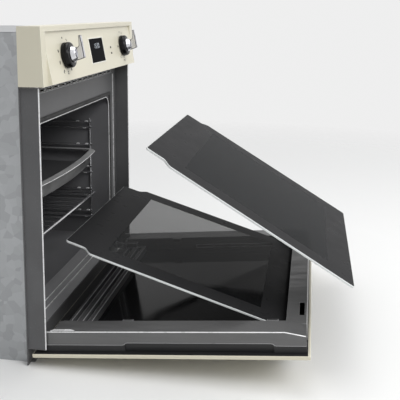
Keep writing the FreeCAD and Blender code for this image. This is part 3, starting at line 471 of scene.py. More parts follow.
BEVELS = (
    (0.0, 0, ("wire_rack", "side_guide_left", "side_guide_right", "blower_wheel", "convection_fan",
              "ring_heater", "grill_element", "bottom_element")),
    (0.3, 1, ("control_board",)),
    (0.4, 2, ("hinge_latch_left", "hinge_latch_right", "base_plate", "side_panel_left", "side_panel_right",
              "top_cover", "rear_cover")),
    (0.5, 2, ("display_window", "vent_grille", "profile_spacers", "baking_tray", "fan_cover",
              "blower_housing")),
    (0.6, 2, ("front_frame", "side_trim_left", "side_trim_right", "cavity_liner", "door_profile_left",
              "door_profile_right", "door_outer_glass", "door_hinge_left", "door_hinge_right",
              "hinge_arm_left", "hinge_arm_right", "hinge_receivers")),
    (0.7, 2, ("door_top_rail",)),
    (0.7, 3, ("indicator_lamps",)),
    (0.8, 2, ("pane_rest_pad", "handle_posts", "terminal_block")),
    (0.9, 2, ("door_bottom_rail",)),
    (0.9, 3, ("cable_gland",)),
    (1.0, 2, ("lamp_holder", "function_switch", "thermostat")),
    (1.0, 3, ("cover_screws",)),
    (1.2, 3, ("pane_clips", "handle_bar", "fan_motor")),
    (1.4, 3, ("door_seal", "door_outer_panel")),
    (1.5, 3, ("blower_motor",)),
    (1.6, 3, ("control_panel",)),
    (2.0, 4, ("lamp_lens",)),
    (4.0, 3, ("insulation",)),
)
ROUNDED = {node: (width, segments) for width, segments, names in BEVELS for node in names}
FINISHES = {"door_outer_glass": OUTER_GLASS}
# Materials of the rounded edges: painted highlights, save the door's outer panel, whose edges keep its cream
EDGES = {
    "baking_tray": BRIGHT_PAINTED_HIGHLIGHT,
    "cavity_liner": SOFT_PAINTED_HIGHLIGHT,
    "control_panel": CREAM_PAINTED_HIGHLIGHT,
    "door_bottom_rail": BRIGHT_PAINTED_HIGHLIGHT,
    "door_outer_panel": MATERIALS["cream_enamel"],
    "door_top_rail": SOFT_PAINTED_HIGHLIGHT,
    "front_frame": SOFT_PAINTED_HIGHLIGHT,
    "pane_clips": SOFT_PAINTED_HIGHLIGHT,
    "side_trim_left": SOFT_PAINTED_HIGHLIGHT,
    "side_trim_right": SOFT_PAINTED_HIGHLIGHT,
    "vent_grille": BRIGHT_PAINTED_HIGHLIGHT,
}


def dress(node):
    """A node's own shape with its edges rounded, in its finish, in place of the plain solid; the rounded
    edges take the material that EDGES names, mostly a painted highlight.
    """
    width, segments = ROUNDED[node]
    edge = EDGES.get(node)
    mesh = nodes[node].data.copy()
    mesh.name = "dressed_" + node
    with editing(mesh) as work:
        bmesh.ops.remove_doubles(work, verts=work.verts, dist=0.002 * MM)
        flat = math.radians(0.6)
        bmesh.ops.dissolve_limit(work, angle_limit=flat, verts=work.verts, edges=work.edges)
    mesh.materials.clear()
    mesh.materials.append(FINISHES.get(node, MATERIALS[slot_of[node]]))
    if edge:
        mesh.materials.append(edge)
    obj = piece("skin_" + node, mesh, body_of[node], slot_of[node], node)
    smooth(obj)
    if width:
        bevel(obj, width * MM, segments, edge=1 if edge else -1)
    return obj


# The tilted control field: y = 0 is its face, -y points at the user and z runs up it

KNOB_TURN = joint_of["temperature_knob_turn"]
TILT = math.atan2(-KNOB_TURN["axis"][2], KNOB_TURN["axis"][1])
FIELD = Matrix.Translation((0, *KNOB_TURN["pos_m"][1:])) @ Matrix.Rotation(-TILT, 4, "X")
KNOB_X = KNOB_TURN["pos_m"][0] / MM


def on_field(verts, x=0.0):
    """Points of the field, given in millimetres about a place on it, in the oven's frame."""
    return [FIELD @ (Vector((vert[0] + x, vert[1], vert[2])) * MM) for vert in verts]


# Knobs

# Radius and y of the skirt and of the lever's hub, and y and z of the lever's side, in millimetres
SKIRT = ((3, 20), (3, -1), (22.9, -1), (23.5, -1.6), (23.5, -3.8), (22.8, -4.4), (22.8, -5), (23.3, -5.6),
         (23, -10.4), (22.2, -12.4), (20.8, -13.6), (19, -14), (15.4, -14), (15.1, -13.6))
HUB = ((15, -13.9), (15, -15.2), (14.2, -16.6), (12.6, -20.4), (11.4, -23.2), (10.4, -24), (4, -24.2))
LEVER = ((-14, -12), (-22, -12), (-30, -11), (-35.4, -9.6), (-36, -8), (-36, 8), (-35.8, 20), (-35.4, 31),
         (-32, 31), (-31, 22), (-29.4, 13), (-24, 9.5), (-14, 8))
LEVER_HALF = 5.5


def knob_skirt(body, x):
    """The turned black skirt of a knob."""
    verts, faces = lathe(SKIRT, steps=72)
    mesh = mesh_from(f"{body}_skirt_mesh", on_field(verts, x), faces, MATERIALS["black_plastic"])
    outward(mesh)
    smooth(piece(f"{body}_skirt_turned", mesh, body, "black_plastic", f"{body}_skirt"), angle=40)


def lever_waist(z):
    """The lever's width at a height, as a share of its full width."""
    waist, middle, reach = 0.78, 8, 20
    return waist + (1 - waist) * min(1.0, abs(z - middle) / reach)


def knob_lever(body, x):
    """The chrome hub and lever of a knob, cast as one."""
    verts, faces = lathe(HUB, steps=64)
    shift = len(verts)
    lever_verts, lever_faces = prism(LEVER, -LEVER_HALF, LEVER_HALF)
    verts += [Vector((across * lever_waist(z), y, z)) for y, z, across in lever_verts]
    faces += [tuple(i + shift for i in face) for face in lever_faces]
    mesh = mesh_from(f"{body}_lever_mesh", on_field(verts, x), faces, MATERIALS["chrome"])
    # The lever's rounded edges take the dark chrome: a painted dark reflection
    mesh.materials.append(CHROME_PAINTED_REFLECTION)
    outward(mesh)
    lever = piece(f"{body}_lever_cast", mesh, body, "chrome", f"{body}_lever")
    smooth(lever, angle=30)
    bevel(lever, width=1.3 * MM, segments=3, angle=34, edge=1)


def pointer_line(body, x):
    """The printed line on the front of a knob's lever."""
    half, low, high = 0.5, (-36.06, 12), (-35.9, 19.5)
    line = [(-half, *low), (half, *low), (half, *high), (-half, *high)]
    mesh = mesh_from(f"{body}_line_mesh", on_field(line, x), [(0, 1, 2, 3)], DIAL_INK)
    piece(f"{body}_pointer_line", mesh, body, "black_plastic")


def knob(name, x):
    """One knob at its place along the field."""
    body = f"{name}_knob"
    knob_skirt(body, x)
    knob_lever(body, x)
    pointer_line(body, x)


# Printed marks, clock and bezel on the control field

# The radius of the ring of marks, the thickness of the ink and the radius of the dot at the off place
RING, INK, DOT = 32.0, 0.12, 1.9


def slab(verts, faces, outline, depth=INK):
    """Adds a flat shape of the field, given as (x, z) points, to verts and faces."""
    start, count = len(verts), len(outline)
    verts += [(x, -depth, z) for x, z in outline] + [(x, 0, z) for x, z in outline]
    faces.append(tuple(range(start, start + count)))
    for i in range(count):
        a, b = start + i, start + (i + 1) % count
        faces.append((a, a + count, b + count, b))


def turned(points, degrees, radius):
    """Points of a small mark moved out to a radius and turned clockwise about the knob from straight up."""
    angle = math.radians(degrees)
    c, s = math.cos(angle), math.sin(angle)
    return [(x * c + (z + radius) * s, -x * s + (z + radius) * c) for x, z in points]


def disc(radius, steps=12):
    """The outline of a round dot."""
    return arc((0, 0), radius, 0, 360, steps)[:-1]


def bar(width, height, lift=0.0):
    """The outline of a bar, lifted off the middle."""
    low, high = lift - height / 2, lift + height / 2
    return [(-width / 2, low), (width / 2, low), (width / 2, high), (-width / 2, high)]


def text_mesh(name, text, size):
    """The mesh of a word, centred, in millimetres."""
    curve = bpy.data.curves.new(name, "FONT")
    curve.body = text
    curve.size = size
    curve.align_x = "CENTER"
    curve.align_y = "CENTER"
    return mesh_of(curve)


def function_marks():
    """A dot at the off place and plain symbols of bars and discs round the function knob."""
    wide, bold, stroke = 6, 1.7, 1.6
    symbols = (
        [bar(wide, bold, 2.2)],
        [bar(wide, bold, -2.2)],
        [bar(wide, stroke, 2.2), bar(wide, stroke, -2.2)],
        [disc(2.6)],
        [disc(2.1), bar(wide, stroke, -3.8)],
        [disc(2.1), bar(wide, stroke, 3.8)],
        [bar(wide, stroke), bar(wide, stroke, 3)],
        [bar(bold, wide), bar(wide, bold)],
    )
    step = 36
    verts, faces = [], []
    slab(verts, faces, turned(disc(DOT), 0, RING))
    for i, symbol in enumerate(symbols, start=1):
        for mark in symbol:
            slab(verts, faces, turned(mark, step * i, RING))
    mesh = mesh_from("function_marks_mesh", on_field(verts, -KNOB_X), faces, DIAL_INK)
    piece("function_dial_marks", mesh, "oven", "black_plastic")


def temperature_marks():
    """A dot at the off place, and ticks and temperatures round the thermostat knob."""
    numbers = ("50", "100", "150", "200", "250", "300")
    first, step = 30, 24
    tick, long_tick, short_tick, tick_ring = 1.3, 3.2, 2.0, RING - 4.5
    letter_size, letter_ring = 6.4, RING + 1.5
    verts, faces = [], []
    slab(verts, faces, turned(disc(DOT), 0, RING))
    for i in range(2 * len(numbers) - 1):
        length = short_tick if i % 2 else long_tick
        slab(verts, faces, turned(bar(tick, length), first + step * i, tick_ring))
    for i, number in enumerate(numbers):
        angle = math.radians(first + 2 * step * i)
        x, z = letter_ring * math.sin(angle), letter_ring * math.cos(angle)
        letters = text_mesh("number_" + number, number, letter_size)
        start = len(verts)
        verts += [(vert.co.x + x, -INK, vert.co.y + z) for vert in letters.vertices]
        faces += [tuple(start + corner for corner in face.vertices) for face in letters.polygons]
        bpy.data.meshes.remove(letters)
    mesh = mesh_from("temperature_marks_mesh", on_field(verts, KNOB_X), faces, DIAL_INK)
    piece("temperature_dial_marks", mesh, "oven", "black_plastic")


# The lit segments of each digit: a to f run clockwise from the top and g is the middle bar
SEGMENTS = {"0": "abcdef", "1": "bc", "3": "abgcd", "5": "afgcd"}
TIME, DIGIT_PLACES = "1530", (-15.0, -6.0, 6.0, 15.0)


def clock():
    """The time in seven-segment digits on the display."""
    wide, tall, thick, gap = 4.4, 9.2, 0.7, 0.35
    up, face, front = 9, 0.8, 0.92
    dot, dot_lift = 0.75, 2
    w = thick / 2
    # The x and z of each segment's middle, and whether it lies flat
    spots = {
        "a": (0, tall / 2, True), "g": (0, 0, True), "d": (0, -tall / 2, True),
        "f": (-wide / 2, tall / 4, False), "b": (wide / 2, tall / 4, False),
        "e": (-wide / 2, -tall / 4, False), "c": (wide / 2, -tall / 4, False),
    }
    verts, faces = [], []
    for digit, x in zip(TIME, DIGIT_PLACES):
        for letter in SEGMENTS[digit]:
            middle_x, middle_z, flat = spots[letter]
            half = (wide / 2 if flat else tall / 4) - gap
            ends = [(-half, 0), (-half + w, -w), (half - w, -w), (half, 0), (half - w, w), (-half + w, w)]
            shape = ends if flat else [(-b, a) for a, b in ends]
            slab(verts, faces, [(x + middle_x + a, up + middle_z + b) for a, b in shape], front)
    for lift in (-dot_lift, dot_lift):
        slab(verts, faces, [(a, up + lift + b) for a, b in disc(dot)], front)
    verts = [(x, min(y, -face), z) for x, y, z in verts]
    mesh = mesh_from("clock_mesh", on_field(verts), faces, CLOCK)
    piece("clock_digits", mesh, "oven", "display")


def display_bezel():
    """A thin bezel round the display glass, in the paler cream of the painted highlight."""
    edge = box_in("display_window", FIELD)[1]
    half_rim, round_off, lip = 0.9, 0.5, 0.4
    side, front, glass_face = -0.6, -1.1, -0.8
    # How far each row of the bezel's section lies outside the glass, and its y
    rows = ((half_rim, 0.0), (half_rim, side), (half_rim - round_off, front), (-half_rim, front),
            (-half_rim - lip, glass_face))
    verts = []
    for out, y in rows:
        x, z = edge.x + out, edge.z + out
        verts += [(-x, y, -z), (x, y, -z), (x, y, z), (-x, y, z)]
    mesh = mesh_from("display_frame_mesh", on_field(verts), bands(len(rows), 4), CREAM_PAINTED_HIGHLIGHT)
    outward(mesh)
    piece("display_bezel", mesh, "oven", "cream_enamel")


# The two loose panes, each with a tab at its hinge end

# How far the tab stands in from the pane's sides, and the lengths of its sides and of the S beside them
TAB_INSET, TAB_LONG, SHOULDER = 18.0, 35.0, 21.0
PANE_CORNER = 5.0
# The width of the ground edge, the print's distance from the pane's edge and face, and its clear window
GROUND = 0.7
PRINT_INSET, PRINT_LIFT = 1.2, 0.03
WINDOW_HALF, WINDOW_START, WINDOW_END = 180, 75, 372


def pane_place(node):
    """The frame of a pane: x across it, y through it and z along it from the middle of its hinge end."""
    face = max(nodes[node].data.polygons, key=lambda polygon: polygon.area)
    through = face.normal if face.normal.z > 0 else -face.normal
    turn = Matrix.Rotation(math.atan2(through.z, through.y), 4, "X")
    low, high = box_in(node, turn)
    hinge_end = turn @ (Vector((0, (low.y + high.y) / 2, low.z)) * MM)
    return Matrix.Translation(hinge_end) @ turn


def pane_outline(size, inset=0.0):
    """The pane's outline in (x, z), drawn in by an inset, with a smooth S at each shoulder."""
    half, far = size.x - inset, size.z - inset
    tab = half - TAB_INSET
    inset_share, steps = 0.3, 10
    shoulder = TAB_LONG + inset * inset_share
    right = arc((tab - PANE_CORNER, inset + PANE_CORNER), PANE_CORNER, -90, 0, 4)
    for i in range(steps + 1):
        share = i / steps
        swing = (1 - math.cos(math.pi * share)) / 2
        right.append((tab + (half - tab) * swing, shoulder + SHOULDER * share))
    right += arc((half - PANE_CORNER, far - PANE_CORNER), PANE_CORNER, 0, 90, 4)
    return right + mirrored(right)


def pane(node, material):
    """One loose pane: a slab with ground edges and a printed border on its upper face."""
    place = pane_place(node)
    size = box_in(node, place)[1]
    ground, full = pane_outline(size, GROUND), pane_outline(size)
    top, shoulder = size.y, size.y - GROUND
    rings = ((ground, -top), (full, -shoulder), (full, shoulder), (ground, top))
    count = len(full)
    verts = [place @ (Vector((x, y, z)) * MM) for outline, y in rings for x, z in outline]
    caps = [tuple(range(count)), tuple(reversed(range(3 * count, 4 * count)))]
    mesh = mesh_from(node + "_slab", verts, caps + bands(len(rings), count), material)
    mesh.materials.append(PANE_EDGE)
    for polygon in mesh.polygons[len(caps):]:
        polygon.material_index = 1
    outward(mesh)
    smooth(piece("pane_" + node, mesh, body_of[node], "glass", node), angle=30)
    pane_border(node, place, pane_outline(size, PRINT_INSET), top + PRINT_LIFT)


def pane_border(node, place, outer, y):
    """A printed frame between the pane's outline and its clear window."""
    window = [(-WINDOW_HALF, WINDOW_START), (WINDOW_HALF, WINDOW_START), (WINDOW_HALF, WINDOW_END),
              (-WINDOW_HALF, WINDOW_END)]
    mesh = bpy.data.meshes.new(node + "_border")
    back = place.inverted()
    with editing(mesh) as work:
        edges = []
        for outline in (outer, window):
            points = [work.verts.new(place @ (Vector((x, y, z)) * MM)) for x, z in outline]
            edges += [work.edges.new(ends) for ends in zip(points, points[1:] + points[:1])]
        bmesh.ops.triangle_fill(work, use_beauty=True, edges=edges)
        clear = []
        for face in work.faces:
            centre = back @ face.calc_center_median() / MM
            if abs(centre.x) < WINDOW_HALF and WINDOW_START < centre.z < WINDOW_END:
                clear.append(face)
        bmesh.ops.delete(work, geom=clear, context="FACES_ONLY")
    mesh.materials.append(PRINT)
    piece("border_" + node, mesh, body_of[node], "glass")


# The open door: y runs from its outside to its inside and z from the hinge to its far end

HINGE = joint_of["door_hinge"]
OPEN = math.radians(-HINGE["range_deg"][0])
DOOR = Matrix.Translation(HINGE["pos_m"]) @ Matrix.Rotation(OPEN, 4, "X")
DOOR_ALONG = DOOR.to_3x3() @ Vector((0, 0, 1))
PROFILE_LOW, PROFILE_HIGH = box_in("door_profile_right", DOOR)
RAIL_START = box_in("door_top_rail", DOOR)[0].z
EDGE_START, EDGE_END = PROFILE_LOW.z + 2, PROFILE_HIGH.z - 1
END_DROP = 7.0
# The relief in a profile's foot and the slot in its inner lip, where the solids have them
RELIEF_START, RELIEF_END = 143.0, 398.0
SLOT_LOW, SLOT_HIGH, SLOT_START, SLOT_END = 3.5, 8.5, 184.0, 374.0


def back_of_door():
    """The door's outer panel: cream outside and on its edges, dark on the side that faces the oven."""
    panel = dress("door_outer_panel")
    panel.data.materials.append(DARK_PAINT_AND_SHADE)
    back = DOOR.inverted()
    lip_wide, faces_up = 4 * MM, 0.9
    lip = max((back @ vert.co).z for vert in panel.data.vertices) - lip_wide
    with editing(panel.data) as work:
        cut(work, DOOR @ Vector((0, 0, lip)), DOOR_ALONG)
    for polygon in panel.data.polygons:
        if polygon.normal.z > faces_up and (back @ polygon.center).z < lip:
            polygon.material_index = 2
    smooth(panel)


def sloped_profile(side):
    """A side profile of the door whose top runs down to the far rail at its end."""
    profile = dress(f"door_profile_{side}")
    back = DOOR.inverted()
    top_depth = 10
    with editing(profile.data) as work:
        cut(work, DOOR @ Vector((0, 0, RAIL_START * MM)), DOOR_ALONG)
        for vert in work.verts:
            place = back @ vert.co / MM
            if place.z > RAIL_START and place.y > PROFILE_HIGH.y - top_depth:
                place.y -= END_DROP * (place.z - RAIL_START) / (PROFILE_HIGH.z - RAIL_START)
                vert.co = DOOR @ (place * MM)
    smooth(profile)


def rolled_edge(side, sign):
    """The rolled edge along the top of a side profile, made bright with a painted highlight."""
    inset, drop, radius = 1.0, 0.4, 1.1
    x = sign * (PROFILE_HIGH.x - inset)
    top = PROFILE_HIGH.y - drop
    points = [(x, top, EDGE_START), (x, top, RAIL_START), (x, top - END_DROP, EDGE_END)]
    bead(f"rolled_edge_{side}", points, radius, "door", "profile_grey", BRIGHT_PAINTED_HIGHLIGHT, DOOR)


def foot_bead(side, sign):
    """The lower edge of a side profile, which steps up over the relief in its foot, lightened with a painted
    highlight.
    """
    inset, radius = 0.3, 0.7
    x = sign * (PROFILE_HIGH.x - inset)
    foot, middle, half_step, ease = 3.9, 8.1, 5.0, 0.7
    rise = [(foot, -half_step), (foot + ease, -half_step / 3), (middle - ease, half_step / 3),
            (middle, half_step)]
    points = [(x, foot, EDGE_START)]
    points += [(x, y, RELIEF_START + z) for y, z in rise]
    points += [(x, y, RELIEF_END - z) for y, z in reversed(rise)]
    points.append((x, foot, EDGE_END))
    bead(f"foot_bead_{side}", points, radius, "door", "profile_grey", SOFT_PAINTED_HIGHLIGHT, DOOR)


def slot_rim(side, sign):
    """The rim of the long slot in a profile's inner lip, made bright with a painted highlight, and a dark
    plate behind the slot that paints the shade inside it.
    """
    inner = PROFILE_LOW.x
    proud, rim, radius = 0.2, 0.8, 1.2
    x = sign * (inner - proud)
    low, high = SLOT_LOW - rim, SLOT_HIGH + rim
    corners = [(x, low, SLOT_START), (x, high, SLOT_START), (x, high, SLOT_END), (x, low, SLOT_END)]
    bead(f"slot_rim_{side}", corners + corners[:1], radius, "door", "profile_grey", BRIGHT_PAINTED_HIGHLIGHT, DOOR)
    near, far, past_sides, past_ends, rounding = 2, 3, 2, 4, 0.2
    behind = (sign * (inner + near), sign * (inner + far))
    across = (SLOT_LOW - past_sides, SLOT_HIGH + past_sides)
    along = (SLOT_START - past_ends, SLOT_END + past_ends)
    plate(f"slot_backing_{side}", behind, across, along, DOOR, rounding, "door", "dark_plastic", DARK_PAINT_AND_SHADE)


def hinge_rod(side, sign):
    """The plated end of the hinge that shows on a ledge beside its rolled edge, made bright with a painted
    highlight.
    """
    inset, dip, rise, radius = 7, 1.5, 0.3, 1.7
    start, end, slope = 8, 52, 8
    x = sign * (PROFILE_HIGH.x - inset)
    low, high = PROFILE_HIGH.y - dip, PROFILE_HIGH.y + rise
    points = [(x, low, start), (x, high, start + slope), (x, high, end - slope), (x, low, end)]
    bead(f"hinge_rod_{side}", points, radius, "door", "hinge_steel", BRIGHT_PAINTED_HIGHLIGHT, DOOR)


def relief_shade_plate(side, sign):
    """A dark plate that closes the long relief in the foot of a side profile, as painted shade in the relief.
    """
    outer = PROFILE_HIGH.x
    deep, shallow, low, high, past_ends, rounding = 4.2, 2.8, -7.5, 9.5, 6, 0.3
    behind = (sign * (outer - deep), sign * (outer - shallow))
    along = (RELIEF_START - past_ends, RELIEF_END + past_ends)
    plate(f"profile_lining_{side}", behind, (low, high), along, DOOR, rounding, "door", "dark_plastic",
          DARK_PAINT_AND_SHADE)


# The front frame, mouth and guides; the hooks of the guides reach the cavity's walls

GUIDE_LOW, GUIDE_HIGH = box_of("side_guide_right")
CAVITY_HALF = GUIDE_HIGH.x


def bright_rims():
    """The front frame, whose two raised rims are bright with a painted highlight."""
    front = dress("front_frame")
    front.data.materials.append(BRIGHT_PAINTED_HIGHLIGHT)
    raised = -0.3 * MM
    for polygon in front.data.polygons:
        if polygon.center.y < raised:
            polygon.material_index = 2


def mouth_bead():
    """The edge of the cavity's mouth, round its two upper corners, made bright with a painted highlight."""
    inset, y, low, top, corner, radius = 0.4, -0.4, 56.0, 419.6, 26.0, 1.0
    half = CAVITY_HALF - inset
    right = [(half, low), *arc((half - corner, top - corner), corner, 0, 90, 8)]
    points = [(x, y, z) for x, z in right + mirrored(right)]
    bead("mouth_bead", points, radius, "oven", "grey_enamel", BRIGHT_PAINTED_HIGHLIGHT)


def sill_bead(name, share):
    """A rib across the sloped sill, at a share of the way from the cavity floor to the front, made bright
    with a painted highlight.
    """
    inset, radius = 1.0, 1.1
    back, floor, front, low = 34.0, 78.0, -2.0, 36.0
    half = CAVITY_HALF - inset
    y = back + (front - back) * share
    z = floor + (low - floor) * share
    bead(name, [(-half, y, z), (half, y, z)], radius, "oven", "grey_enamel", BRIGHT_PAINTED_HIGHLIGHT)


def trim_bead(side):
    """The rolled front edge of a side trim, made bright with a painted highlight."""
    inset, end_gap, radius = 0.6, 1.0, 1.2
    low, high = box_of(f"side_trim_{side}")
    x, y = (low.x + high.x) / 2, low.y + inset
    points = [(x, y, low.z + end_gap), (x, y, high.z - end_gap)]
    bead(f"trim_bead_{side}", points, radius, "oven", "frame_steel", BRIGHT_PAINTED_HIGHLIGHT)


def guide_stops(side, sign):
    """Small bends near the front of the guide's wires: two on each upper wire, one under each lower one, made
    bright with a painted highlight.
    """
    wire, foot, levels, pitch, pair = 2.0, 12.0, 5, 55.0, 13.0
    rise, half_top, half_bend = 1.6, 1.5, 4
    under, first, second = 58, 53, 75
    x = sign * (GUIDE_LOW.x + wire)
    lines = []
    for level in range(levels):
        low = GUIDE_LOW.z + foot + level * pitch
        high = low + pair
        for y, z, lift in ((under, low, -rise), (first, high, rise), (second, high, rise)):
            lines.append([(x, y - half_bend, z), (x, y - half_top, z + lift), (x, y + half_top, z + lift),
                          (x, y + half_bend, z)])
    beads(f"guide_stops_{side}", lines, wire, "oven", "wire_chrome", BRIGHT_PAINTED_HIGHLIGHT)


# The tray, in metres: its brim is bowed at the front and rounded at the two front corners

CORNER, CORNER_STEPS = 32 * MM, 8
TRAY_LOW, TRAY_HIGH = map(Vector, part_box("baking_tray"))
TRAY_HALF, NOSE = TRAY_HIGH.x, TRAY_LOW.y
AT_SIDE = TRAY_HALF - 0.01 * MM
TRAY_SIDE = min(vert.co.y for vert in nodes["baking_tray"].data.vertices if vert.co.x > AT_SIDE)
BOW = TRAY_SIDE - NOSE
BOW_RADIUS = (TRAY_HALF ** 2 + BOW ** 2) / (2 * BOW)


def bowed_front(x):
    """The y of the tray's square-cornered front at a distance from its middle."""
    return NOSE + BOW_RADIUS - math.sqrt(BOW_RADIUS ** 2 - x ** 2)


def rounded(x, y):
    """A place in the tray's front corner, moved from the corner's square into the quarter disc inside it."""
    inner, back = TRAY_HALF - CORNER, TRAY_SIDE + CORNER
    deep = back - bowed_front(x)
    across, ahead = (x - inner) / CORNER, (back - y) / deep
    if across <= 0 or ahead <= 0:
        return x, y
    round_across = across * math.sqrt(1 - ahead ** 2 / 2)
    round_ahead = ahead * math.sqrt(1 - across ** 2 / 2)
    return inner + CORNER * round_across, back - deep * round_ahead


def round_corners(tray):
    """Rounds the tray's two front corners in plan."""
    with editing(tray.data) as work:
        for i in range(CORNER_STEPS):
            reach = CORNER * (1 - i / CORNER_STEPS)
            inner = TRAY_HALF - reach
            cut(work, (0, TRAY_SIDE + reach, 0), (0, 1, 0))
            cut(work, (inner, 0, 0), (1, 0, 0))
            cut(work, (-inner, 0, 0), (1, 0, 0))
        for vert in work.verts:
            x, y = rounded(abs(vert.co.x), vert.co.y)
            vert.co.x = math.copysign(x, vert.co.x)
            vert.co.y = y
        bmesh.ops.remove_doubles(work, verts=work.verts, dist=0.3 * MM)
    smooth(tray)


def lit_and_shaded_tray():
    """The tray: a brim made pale as a painted highlight, an outside darkened as painted shade and a basin
    darker still as painted shade.
    """
    tray = dress("baking_tray")
    round_corners(tray)
    tray.data.materials.append(TRAY_BASIN_SHADE)
    tray.data.materials.append(TRAY_BRIM_HIGHLIGHT)
    middle = (TRAY_LOW + TRAY_HIGH) / 2
    brim_deep = 2 * MM
    brim = TRAY_HIGH.z - brim_deep
    for polygon in tray.data.polygons:
        inwards = middle - polygon.center
        inwards.z = 0
        faces_up = polygon.normal.z > 0.5
        faces_in = polygon.normal.dot(inwards.normalized()) > 0.3
        # Faces of the basin take painted shade, and the top of the brim a painted highlight
        if polygon.center.z < brim and (faces_up or faces_in):
            polygon.material_index = 2
        elif polygon.center.z > brim and faces_up:
            polygon.material_index = 3


def brim_bead():
    """The edge along the front of the tray's brim and round its corners, made bright with a painted
    highlight.
    """
    inset, drop, radius, steps = 0.8 * MM, 0.7 * MM, 0.9, 9
    inner, back = TRAY_HALF - CORNER, TRAY_SIDE + CORNER
    shares = [i / CORNER_STEPS for i in range(1, CORNER_STEPS + 1)]
    right = []
    for share in shares:
        right.append(rounded(TRAY_HALF, back - (back - bowed_front(TRAY_HALF)) * share))
    for share in shares:
        x = TRAY_HALF - CORNER * share
        right.append(rounded(x, bowed_front(x)))
    for i in range(1, steps):
        x = inner * (1 - i / steps)
        right.append((x, bowed_front(x)))
    z = (TRAY_HIGH.z - drop) / MM
    right = [((x - inset) / MM, (y + inset) / MM, z) for x, y in right]
    bead("brim_bead", right + mirrored(right), radius, "tray", "tray_steel", BRIGHT_PAINTED_HIGHLIGHT)


# All pieces of the oven

# Nodes that a function of their own dresses
APART = ("door_outer_panel", "door_profile_left", "door_profile_right", "front_frame", "baking_tray")
back_of_door()
for side, sign in SIDES:
    sloped_profile(side)
    rolled_edge(side, sign)
    foot_bead(side, sign)
    slot_rim(side, sign)
    hinge_rod(side, sign)
    relief_shade_plate(side, sign)
    trim_bead(side)
    guide_stops(side, sign)
mouth_bead()
sill_bead("sill_rib_upper", 0.37)
sill_bead("sill_rib_lower", 0.575)
lit_and_shaded_tray()
brim_bead()
bright_rims()
for node_name in ROUNDED:
    if node_name not in APART:
        dress(node_name)
knob("function", -KNOB_X)
knob("temperature", KNOB_X)
function_marks()
temperature_marks()
clock()
display_bezel()
pane("inner_glass", MATERIALS["glass"])
pane("middle_glass", MIDDLE_GLASS)


# Stage, lights and camera

# Name, place, aim, width and height in metres, and watts of each soft box
LIGHTS = (
    ("key_light", (-1.3, -1.9, 2.1), (0, -0.1, 0.35), (1.6, 1.2), 34),
    ("front_light", (0.9, -2.4, 1.2), (0, 0, 0.35), (1.4, 1.4), 14),
    ("top_light", (0.2, -0.4, 2.6), (0, -0.1, 0.2), (1.8, 1.2), 18),
)


def stage_floor():
    """A pale floor that fades out into the background."""
    size, fade_start, fade_end = 3.0, 0.9, 2.6
    mesh = bpy.data.meshes.new("floor")
    corners = [(-size, -size, 0), (size, -size, 0), (size, size, 0), (-size, size, 0)]
    mesh.from_pydata(corners, [], [(0, 1, 2, 3)])
    material, tree, shader = make_material("pale_floor")
    shader.inputs["Base Color"].default_value = (0.8, 0.8, 0.79, 1)
    shader.inputs["Roughness"].default_value = 0.8
    reach = tree.nodes.new("ShaderNodeVectorMath")
    reach.operation = "LENGTH"
    tree.links.new(object_space(tree), reach.inputs[0])
    cover = spread(tree, reach.outputs["Value"], 1.0, 0.0, start=fade_start, end=fade_end)
    tree.links.new(cover, shader.inputs["Alpha"])
    mesh.materials.append(material)
    obj = bpy.data.objects.new("floor", mesh)
    scene.collection.objects.link(obj)


def soft_box(name, place, aim, size, power):
    """A rectangular lamp that points at a place."""
    light = bpy.data.lights.new(name, "AREA")
    light.shape = "RECTANGLE"
    light.size, light.size_y = size
    light.energy = power
    obj = bpy.data.objects.new(name, light)
    obj.location = place
    obj.rotation_mode = "QUATERNION"
    obj.rotation_quaternion = (Vector(aim) - Vector(place)).to_track_quat("-Z", "Y")
    scene.collection.objects.link(obj)


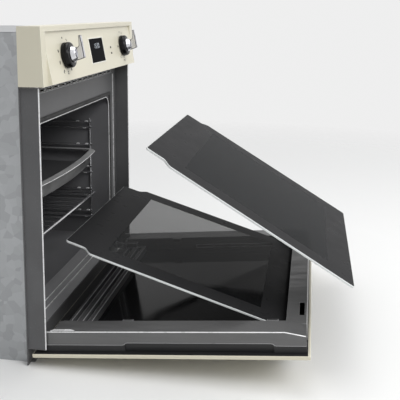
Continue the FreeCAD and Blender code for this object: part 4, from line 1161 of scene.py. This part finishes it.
def world():
    """Soft light from all round, and a pale background that the camera, metal and glass see."""
    scene.world = bpy.data.worlds.new("studio")
    scene.world.use_nodes = True
    tree = scene.world.node_tree
    lit = tree.nodes["Background"]
    coords = tree.nodes.new("ShaderNodeTexCoord")
    parts = tree.nodes.new("ShaderNodeSeparateXYZ")
    tree.links.new(coords.outputs["Generated"], parts.inputs["Vector"])
    brighter_above = spread(tree, parts.outputs["Z"], low=0.2, high=0.75, start=-0.1, end=0.8)
    tree.links.new(brighter_above, lit.inputs["Strength"])
    lit.inputs["Color"].default_value = (0.97, 0.98, 1.0, 1)
    seen = tree.nodes.new("ShaderNodeBackground")
    seen.inputs["Color"].default_value = (0.86, 0.86, 0.86, 1)
    paths = tree.nodes.new("ShaderNodeLightPath")
    view = paths.outputs["Is Camera Ray"]
    for kind in ("Is Transmission Ray", "Is Glossy Ray"):
        either = tree.nodes.new("ShaderNodeMath")
        either.operation = "MAXIMUM"
        tree.links.new(view, either.inputs[0])
        tree.links.new(paths.outputs[kind], either.inputs[1])
        view = either.outputs["Value"]
    mix = tree.nodes.new("ShaderNodeMixShader")
    tree.links.new(view, mix.inputs["Fac"])
    tree.links.new(lit.outputs["Background"], mix.inputs[1])
    tree.links.new(seen.outputs["Background"], mix.inputs[2])
    tree.links.new(mix.outputs["Shader"], tree.nodes["World Output"].inputs["Surface"])


def camera():
    """The camera that was fitted to the photo: its place, turn and drop, and a focal length in pixels."""
    focal_pixels, picture_pixels, sensor = 706.2, 400, 36.0
    turn, drop = math.radians(10.88), math.radians(8.66)
    data = bpy.data.cameras.new("camera")
    data.sensor_width = sensor
    data.lens = focal_pixels / picture_pixels * sensor
    data.shift_x = 0.06
    data.shift_y = -0.2
    data.dof.use_dof = False
    obj = bpy.data.objects.new("camera", data)
    ahead = Vector((math.cos(turn) * math.cos(drop), math.sin(turn) * math.cos(drop), -math.sin(drop)))
    obj.location = (-1.3894, -0.4759, 0.6170)
    obj.rotation_mode = "QUATERNION"
    obj.rotation_quaternion = ahead.to_track_quat("-Z", "Y")
    scene.collection.objects.link(obj)
    scene.camera = obj


stage_floor()
world()
for light_row in LIGHTS:
    soft_box(*light_row)
camera()
scene.view_settings.view_transform = "Standard"
